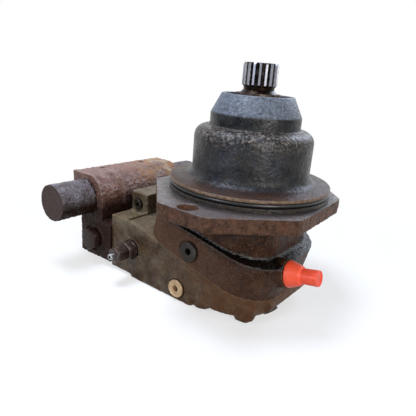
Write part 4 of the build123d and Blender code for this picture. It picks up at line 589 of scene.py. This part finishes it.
adjuster = {"place": axisPlace((-118, -79, -96), front), "spot": 14.0, "bore": 6.1, "boreDepth": 98.8,
            "nutKey": 22.0, "nutLow": 1.6, "nutHigh": 12.8, "nutBore": 6.3, "washer": 11.5, "washerBore": 6.4,
            "washerLow": -1.4, "washerHigh": 1.9, "sleeveKey": 18.5, "sleeveLow": 13.6, "sleeveHigh": 29.5,
            "sleeveLip": 1.2, "thread": (5.9, -24), "tip": 36.0, "tipLow": 20.0, "tipRadius": 3.9, "socket": 2.2}
bm = bmesh.new()
deck = newShape(roundedPrism, jointFace["corners"], -70, 3, jointPlace, jointFace["round"], jointFace["steps"])
sliced(deck, (0, 0, plate["skirt"]), (0, 0, -1))
joinInto(bm, deck)
roundedPrism(bm, plate["base"], plate["bottom"], plate["baseTop"], rounding=5, steps=4)
roundedPrism(bm, plate["keel"], -plate["keelHalf"], plate["keelHalf"], sideways)
roundedPrism(bm, plate["block"], -plate["blockHalf"], plate["blockHalf"], sideways)
roundedPrism(bm, plate["hump"], plate["humpLow"], plate["humpTop"], rounding=4, steps=4)
for x, y in plate["rightBolts"]:
    boss = peg(plate["boss"], -60, -10, jointPlace @ Matrix.Translation((x, y, 0)), segments=40)
    sliced(boss, (0, 0, plate["bossLow"]), (0, 0, -1))
    joinInto(bm, boss)
portPlate = toObject("port_casting", bm)
cast(portPlate, **plate["skin"])
cuts = [
    slab(0, 60, left=plate["deckEdge"], place=jointPlace),
    slab(-200, 0, left=-200, right=plate["valveFace"]),
    slab(-200, plate["bottom"] + 0.1),
]
for radius, half in (plate["track"], plate["lensRoom"]):
    cuts.append(peg(radius, -half, half, Matrix.Translation(swing["centre"]) @ sideways, segments=128))
cuts += [
    peg(plate["stroker"], -170, 42, axisPlace((0, 0, plate["strokerHeight"]), (1, 0, 0))),
    peg(adjuster["spot"], -1.5, 10, adjuster["place"]),
    peg(adjuster["bore"], -adjuster["boreDepth"], 10, adjuster["place"]),
]
for x, y in plate["leftBolts"] + plate["rightBolts"]:
    place = jointPlace @ Matrix.Translation((x, y, 0))
    cuts.append(peg(plate["headHole"], -80, plate["headSeat"], place, segments=40))
    cuts.append(peg(plate["boltHole"], -30, 5, place, segments=32))
for name in ("gauge_plug", "boss_plug", "end_plug"):
    cuts += seatCuts(plugs[name])
carve(portPlate, cuts)
finish(portPlate, "housing", plateIron, ["port_plate"])
print("port plate", len(portPlate.data.polygons))

# valve block: round barrel with a flat top and back, on a foot
valve = {"x": -209.0, "z": -45.0, "half": 82.0, "top": -13.5, "back": -238.0, "footBack": -221.0,
         "barrel": [(-238, -13.5), (-177, -13.5), (-177, -74), (-155, -74), (-155, -128), (-221, -128), (-221, -74),
                    (-238, -74)], "barrelRound": [0, 31.5, 0, 0, 3, 3, 0, 0],
         "rim": [(-237, -10.5), (-173.4, -10.5), (-173.4, -74), (-237, -74)], "rimFrom": 76.5,
         "seam": [(-230, -11), (-174, -11), (-174, -60), (-230, -60)], "seamFrom": 38.2, "seamTo": 41.8,
         "ridgeRound": [0, 32, 0, 0], "spoolBore": 15.1, "capBore": 20.1, "capFloor": 74.0,
         "portSide": 40, "portHole": 12.5, "portDepth": 12, "passage": 9.0, "passageDepth": 29,
         "portBolts": [(-28.6, -13.9), (-28.6, 13.9), (28.6, -13.9), (28.6, 13.9)], "portBolt": 5.1,
         "topHoles": (-227, 38), "topHole": 4.2, "topChamfer": 5.6,
         "footBolts": (-87, -116), "footSide": 50, "headHole": 8.4, "boltHole": 5.4,
         "skin": {"voxel": 1.15, "softness": 4, "grain": 4.2, "depth": 1.9}}
relief = {"x": -191.0, "z": -101.0, "boss": 21.0, "bossEnd": 84.0, "spot": 18.4, "spotFloor": 81.2, "bore": 12.1,
          "boreFloor": 56.0, "key": 28.0, "hexLow": 84.1, "hexHigh": 93.0, "shank": (12, 58)}
sides = {"front": -1, "rear": 1}
spoolPlaces = {side: axisPlace((valve["x"], 0, valve["z"]), (0, side, 0)) for side in sides.values()}
reliefPlaces = {side: axisPlace((relief["x"], 0, relief["z"]), (0, side, 0)) for side in sides.values()}
bm = newShape(roundedPrism, valve["barrel"], -valve["half"], valve["half"], sideways, valve["barrelRound"], 16)
roundedPrism(bm, valve["rim"], valve["rimFrom"], valve["half"], sideways, valve["ridgeRound"], 16)
roundedPrism(bm, valve["seam"], valve["seamFrom"], valve["seamTo"], sideways, valve["ridgeRound"], 16)
for place in reliefPlaces.values():
    drum(bm, relief["boss"], 60, relief["bossEnd"], place)
valveBlock = toObject("valve_casting", bm)
cast(valveBlock, **valve["skin"])
cuts = [
    slab(-200, 0, left=plate["valveFace"], right=0),
    slab(valve["top"] - 0.1, 20),
    slab(-200, 20, right=valve["back"] + 0.1),
    peg(valve["spoolBore"], -100, 100, spoolPlaces[1]),
]
for side in sides.values():
    cuts.append(peg(valve["capBore"], valve["capFloor"], 100, spoolPlaces[side]))
    cuts.append(peg(relief["spot"], relief["spotFloor"], 100, reliefPlaces[side], segments=48))
    cuts.append(peg(relief["bore"], relief["boreFloor"], 100, reliefPlaces[side], segments=48))
    middle = valve["portSide"] * side
    port = axisPlace((valve["back"], middle, valve["z"]), (-1, 0, 0))
    cuts.append(peg(valve["portHole"], -valve["portDepth"], 10, port))
    cuts.append(peg(valve["passage"], -valve["passageDepth"], 10, port))
    for across, up in valve["portBolts"]:
        place = axisPlace((valve["back"], middle + across, valve["z"] + up), (-1, 0, 0))
        cuts.append(peg(valve["portBolt"], -15, 10, place, segments=32))
    place = Matrix.Translation((valve["topHoles"][0], valve["topHoles"][1] * side, valve["top"]))
    cuts.append(peg(valve["topHole"], -14, 5, place, segments=32))
    cuts.append(peg(valve["topHole"], -0.9, 0.4, place, segments=32, top=valve["topChamfer"]))
    for z in valve["footBolts"]:
        place = axisPlace((valve["footBack"], valve["footSide"] * side, z), (-1, 0, 0))
        cuts.append(peg(valve["headHole"], -10, 20, place, segments=40))
        cuts.append(peg(valve["boltHole"], -70, 5, place, segments=32))
carve(valveBlock, cuts)
finish(valveBlock, "housing", valveIron, ["valve_body"])
print("valve block", len(valveBlock.data.polygons))

# spool caps: rough drums with a sawn flat end
cap = {"radius": 24.6, "end": 134.0, "bore": 16.0, "boreEnd": 125.0, "neck": 20.0, "neckLow": 74.2, "neckHigh": 90.0,
       "skin": {"voxel": 0.95, "softness": 3, "grain": 4.2, "depth": 1.6}}
for where, side in sides.items():
    bm = peg(cap["radius"], valve["half"], cap["end"] + 2, spoolPlaces[side], segments=96)
    drum(bm, cap["neck"], cap["neckLow"], cap["neckHigh"], spoolPlaces[side], segments=96)
    spoolCap = toObject("spool_cap_" + where + "_forged", bm)
    cast(spoolCap, **cap["skin"])
    carve(spoolCap, [peg(40, cap["end"], 160, spoolPlaces[side]),
                     peg(cap["bore"], 60, cap["boreEnd"], spoolPlaces[side])])
    finish(spoolCap, "housing", capIron, ["spool_cap_" + where])

for where, side in sides.items():
    cartridge = hexHead("relief_hex_" + where, relief["key"], relief["hexLow"], relief["hexHigh"], reliefPlaces[side],
                        relief["shank"])
    finish(cartridge, "housing", capIron, ["relief_cartridge_" + where], angle=30)

# screw plugs with hexagon sockets
plugHead = {"low": -0.28, "high": 2.3, "dish": 1.9}
for name, plug in plugs.items():
    head, thread, end = plug["head"], plug["thread"], -plug["depth"] - 1
    screwPlug = toObject(name + "_turned", newShape(turned, [
        (0, end, 0), (thread, end, 0.8), (thread, plugHead["low"], 0), (head, plugHead["low"], 0),
        (head, plugHead["high"], 0.7), (head * 0.86, plugHead["high"], 0), (head * 0.8, plugHead["dish"], 0),
        (0, plugHead["dish"], 0)], plug["place"], steps=72))
    carve(screwPlug, [peg(plug["key"] / sqrt(3), -plug["depth"] / 2, 6, plug["place"], segments=6)])
    finish(screwPlug, "housing",
           oldBrass if name == "gauge_plug" else blackSteel, [name], angle=30)

# adjusting screw with its sleeve and bright tip, and the lock nut behind it
screw = hexHead("adjusting_screw_sleeve", adjuster["sleeveKey"], adjuster["sleeveLow"], adjuster["sleeveHigh"],
                adjuster["place"], adjuster["thread"], lip=adjuster["sleeveLip"])
finish(screw, "adjusting_screw", platedSteel, ["adjusting_screw"], angle=30)
tip = toObject("adjusting_screw_tip", newShape(turned, [
    (0, adjuster["tipLow"], 0), (adjuster["tipRadius"], adjuster["tipLow"], 0),
    (adjuster["tipRadius"], adjuster["tip"], 0.8), (0, adjuster["tip"], 0)], adjuster["place"], steps=48))
carve(tip, [peg(adjuster["socket"], adjuster["tip"] - 5, 40, adjuster["place"], segments=6)])
finish(tip, "adjusting_screw", brightSteel, ["adjusting_screw"], angle=30)
nut = hexHead("lock_nut_hex", adjuster["nutKey"], adjuster["nutLow"], adjuster["nutHigh"], adjuster["place"])
addTo(nut, newShape(turned, [
    (adjuster["washerBore"], adjuster["washerLow"], 0), (adjuster["washer"], adjuster["washerLow"], 0.6),
    (adjuster["washer"], adjuster["washerHigh"], 0.6), (adjuster["washerBore"], adjuster["washerHigh"], 0)],
    adjuster["place"], steps=64))
carve(nut, [peg(adjuster["nutBore"], -10, 30, adjuster["place"], segments=48)])
finish(nut, "lock_nut", platedSteel, ["adjusting_lock_nut"], angle=30)

# shipping plug: moulded flange, cone and fluted stub, with heights above the boss it closes
shipping = {"centre": 0, "inside": 10.4, "root": 10.6, "flange": 15.0, "stub": 8.6, "stubEnd": 8.8, "rim": 7.4,
            "dish": 7.2, "bottom": -14, "flangeLow": 0.4, "flangeHigh": 3, "coneTop": 16, "stubLow": 17,
            "top": 35.5, "dishFloor": 34.5, "flutes": 10, "flute": 0.9, "fluteAt": 9.2, "fluteLow": 19,
            "fluteHigh": 33}
start = drainPort["face"]
outline = [
    ("centre", "bottom", 0), ("inside", "bottom", 0.8), ("root", "flangeLow", 0), ("flange", "flangeLow", 0.5),
    ("flange", "flangeHigh", 0.8), ("root", "coneTop", 1.0), ("stub", "stubLow", 0.6), ("stubEnd", "top", 0.6),
    ("rim", "top", 0.3), ("dish", "dishFloor", 0.3), ("centre", "dishFloor", 0)]
bm = newShape(turned, [(shipping[radius], start + shipping[height], size) for radius, height, size in outline],
              drainPlace, steps=80)
shippingPlug = toObject("shipping_plug_moulded", bm)
flutes = []
for number in range(shipping["flutes"]):
    turn = Matrix.Rotation(2 * pi * number / shipping["flutes"], 4, "Z")
    flutes.append(peg(shipping["flute"], start + shipping["fluteLow"], start + shipping["fluteHigh"],
                      drainPlace @ turn @ Matrix.Translation((shipping["fluteAt"], 0, 0)), segments=16))
carve(shippingPlug, flutes)
finish(shippingPlug, "shipping_plug", orangePlastic, ["shipping_plug"], angle=35)
print("small pieces made")


def splineSteel(look):  # ground teeth, bright at their tips, with black grease between them
    material, tree, shader, place = newMaterial(look["name"])
    flat = addNode(tree, "VectorMath", {1: fromAxis}, {0: place}, operation="MULTIPLY").outputs[0]
    radius = addNode(tree, "VectorMath", links={0: flat}, operation="LENGTH").outputs["Value"]
    clean = addNode(tree, "MapRange", {1: look["root"] * mm, 2: look["tip"] * mm}, {0: radius}).outputs[0]
    height = addNode(tree, "SeparateXYZ", links={0: place}).outputs[2]
    low, high = look["endFace"]
    endFace = addNode(tree, "MapRange", {1: low * mm, 2: high * mm, 4: look["endShine"]}, {0: height}).outputs[0]
    clean = addNode(tree, "Math", links={0: clean, 1: endFace}, operation="MAXIMUM").outputs[0]
    wiped = patchy(tree, place, look["smear"], [(0.3, 0.0), (0.7, 0.35)], detail=5.0, rough=0.65)
    clean = addNode(tree, "Math", links={0: clean, 1: wiped}, operation="ADD").outputs[0]
    colour = addNode(tree, "ValToRGB", links={0: clean}, stops=look["body"]).outputs[0]
    high, low = look["greased"]
    greased = addNode(tree, "MapRange", {1: high * mm, 2: low * mm}, {0: height}).outputs[0]
    colour = addNode(tree, "Mix", {7: linear(look["grease"])}, {0: greased, 6: colour}, data_type="RGBA").outputs[2]
    rough = patchy(tree, place, look["smear"], look["rough"], detail=5.0, rough=0.65)
    tree.links.new(colour, shader.inputs["Base Color"])
    tree.links.new(rough, shader.inputs["Roughness"])
    shader.inputs["Metallic"].default_value = 1.0
    return material


# finishes of the CAD pieces that stay, by slot or by name
splined = splineSteel({
    "name": "greased spline steel", "root": 17.4, "tip": 19.9, "endFace": (143.8, 144.2), "endShine": 0.7, "smear": 5,
    "body": [(0.2, "#120d0b"), (0.6, "#454245"), (1.0, "#868890")], "greased": (120.5, 118.5), "grease": "#17110d",
    "rough": [(0.3, 0.22), (0.7, 0.42)]})
finishes = {"housing_iron": housingIron, "plate_iron": plateIron, "valve_iron": valveIron, "cap_steel": capIron,
            "machined_steel": machinedSteel, "plated_steel": platedSteel, "black_steel": blackSteel,
            "spring_steel": springSteel, "brass": oldBrass, "rubber": nitrile, "orange_plastic": orangePlastic}
own = {"drive_shaft": splined, "shaft_collar": platedSteel, "seal_retaining_ring": platedSteel}
for entry in frame["record"]["subparts"]:
    node = frame["nodes"][entry["node"]]
    node.data.materials.clear()
    node.data.materials.append(own.get(entry["node"], finishes[entry["material_slot"]]))
print("finishes set")

# spring wire copied from each CAD spring: joint, fixed end along Y and the spool's travel
springs = {"spool_spring_front": ("spool_slide", -125.0, 6.0), "spool_spring_rear": ("spool_slide", 125.0, 6.0),
           "control_spring": ("control_spool_slide", -55.0, 4.0)}
for name, (joint, fixedEnd, travel) in springs.items():
    bm = bmesh.new()
    bm.from_mesh(frame["nodes"][name].data)
    bmesh.ops.remove_doubles(bm, verts=bm.verts, dist=1e-6)  # the CAD mesh is loose triangles
    bmesh.ops.transform(bm, matrix=frame["nodes"][name].matrix_world, verts=bm.verts)
    mesh = bpy.data.meshes.new(name + "_wire")
    bm.to_mesh(mesh)
    bm.free()
    wire = bpy.data.objects.new(name + "_wire", mesh)
    scene.collection.objects.link(wire)
    finish(wire, "housing", springSteel, [name])
    places = [v.co.y for v in mesh.vertices]
    length = (max(places) - min(places)) / mm
    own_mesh(wire)
print("springs made")

# camera, floor and lights, in metres
view = {"place": (0.2576, -0.4228, 0.1332), "right": (0.784, 0.6162, 0.0745), "up": (-0.2493, 0.2027, 0.947),
        "back": (0.5684, -0.761, 0.3125), "lens": 36.35, "sensor": 36.0, "clip": 0.01}
camera = bpy.data.objects.new("camera", bpy.data.cameras.new("camera"))
scene.collection.objects.link(camera)
camera.data.lens = view["lens"]
camera.data.sensor_width = view["sensor"]
camera.data.clip_start = view["clip"]
axes = [Vector(view[side]).normalized() for side in ("right", "up", "back")]
camera.matrix_world = Matrix.Translation(view["place"]) @ Matrix(axes).transposed().to_4x4()
scene.camera = camera

sweep = {"half": 4000, "below": 0.3, "grain": 60, "body": [(0.3, "#f0f0ef"), (0.7, "#fafafa")], "bounce": "#77746f",
         "near": 0.2, "far": 0.55, "nearGlow": 0.6, "farGlow": 1.0, "rough": 0.9}
lowest = cadBox[0][2]
bm = bmesh.new()
bmesh.ops.create_grid(bm, x_segments=1, y_segments=1, size=sweep["half"],
                      matrix=Matrix.Translation((0, 0, lowest / mm - sweep["below"])))
floor = toObject("floor", bm)
paper, tree, shader, place = newMaterial("white paper sweep")  # matt paper that is white to the eye
rays = addNode(tree, "LightPath").outputs
seen = addNode(tree, "Math", links={0: rays["Is Camera Ray"], 1: rays["Is Glossy Ray"]},
               operation="MAXIMUM").outputs[0]
seen = addNode(tree, "Math", links={0: seen, 1: rays["Is Transmission Ray"]}, operation="MAXIMUM").outputs[0]
grain = patchy(tree, place, sweep["grain"], sweep["body"])
colour = addNode(tree, "Mix", {6: linear(sweep["bounce"])}, {0: seen, 7: grain}, data_type="RGBA").outputs[2]
tree.links.new(colour, shader.inputs["Base Color"])  # little light comes back from below
shader.inputs["Roughness"].default_value = sweep["rough"]
away = addNode(tree, "VectorMath", links={0: place}, operation="LENGTH").outputs["Value"]
away = addNode(tree, "MapRange", {1: sweep["near"], 2: sweep["far"], 3: sweep["nearGlow"], 4: sweep["farGlow"]},
               {0: away}).outputs[0]  # shadow only near the part
seen = addNode(tree, "Math", links={0: seen, 1: away}, operation="MULTIPLY").outputs[0]
glow = addNode(tree, "Emission", {"Color": (1, 1, 1, 1), "Strength": 1.0}).outputs[0]
mixed = addNode(tree, "MixShader", links={0: seen, 1: shader.outputs[0], 2: glow}).outputs[0]
tree.links.new(mixed, next(n for n in tree.nodes if n.type == "OUTPUT_MATERIAL").inputs[0])
floor.data.materials.append(paper)

studio = {"sky": "#dfe7f2", "strength": 0.2}
world = bpy.data.worlds.new("studio")
scene.world = world
world.use_nodes = True
tree = world.node_tree
tree.nodes.clear()
rays = addNode(tree, "LightPath").outputs
soft = addNode(tree, "Background", {"Color": linear(studio["sky"]), "Strength": studio["strength"]}).outputs[0]
white = addNode(tree, "Background", {"Color": (1, 1, 1, 1), "Strength": 1.0}).outputs[0]
seen = addNode(tree, "Math", links={0: rays["Is Glossy Ray"], 1: rays["Is Transmission Ray"]},
               operation="MAXIMUM").outputs[0]
seen = addNode(tree, "Math", links={0: seen, 1: rays["Is Camera Ray"]}, operation="MAXIMUM").outputs[0]
sky = addNode(tree, "MixShader", links={0: seen, 1: soft, 2: white}).outputs[0]
addNode(tree, "OutputWorld", links={0: sky})

lamps = {  # place, size, power and tint
    "top": ((-0.3, -0.25, 1.15), 0.45, 16.0, "#e2ecff"), "front": ((-0.2, -1.15, 0.45), 0.35, 4.5, "#e6eeff"),
    "right": ((1.0, -0.6, 0.4), 0.45, 8.5, "#fffaf4"), "back": ((0.1, 1.1, 0.75), 0.6, 7.0, "#d6e4ff")}
target = Vector((-0.03, 0, 0))
for name, (where, size, power, tint) in lamps.items():
    lamp = bpy.data.lights.new(name, "AREA")
    lamp.size = size
    lamp.energy = power
    lamp.color = linear(tint)[:3]
    holder = bpy.data.objects.new(name, lamp)
    scene.collection.objects.link(holder)
    aim = (Vector(where) - target).to_track_quat("Z", "Y").to_matrix().to_4x4()
    holder.matrix_world = Matrix.Translation(where) @ aim
scene.view_settings.view_transform = "Standard"
print("stage set")
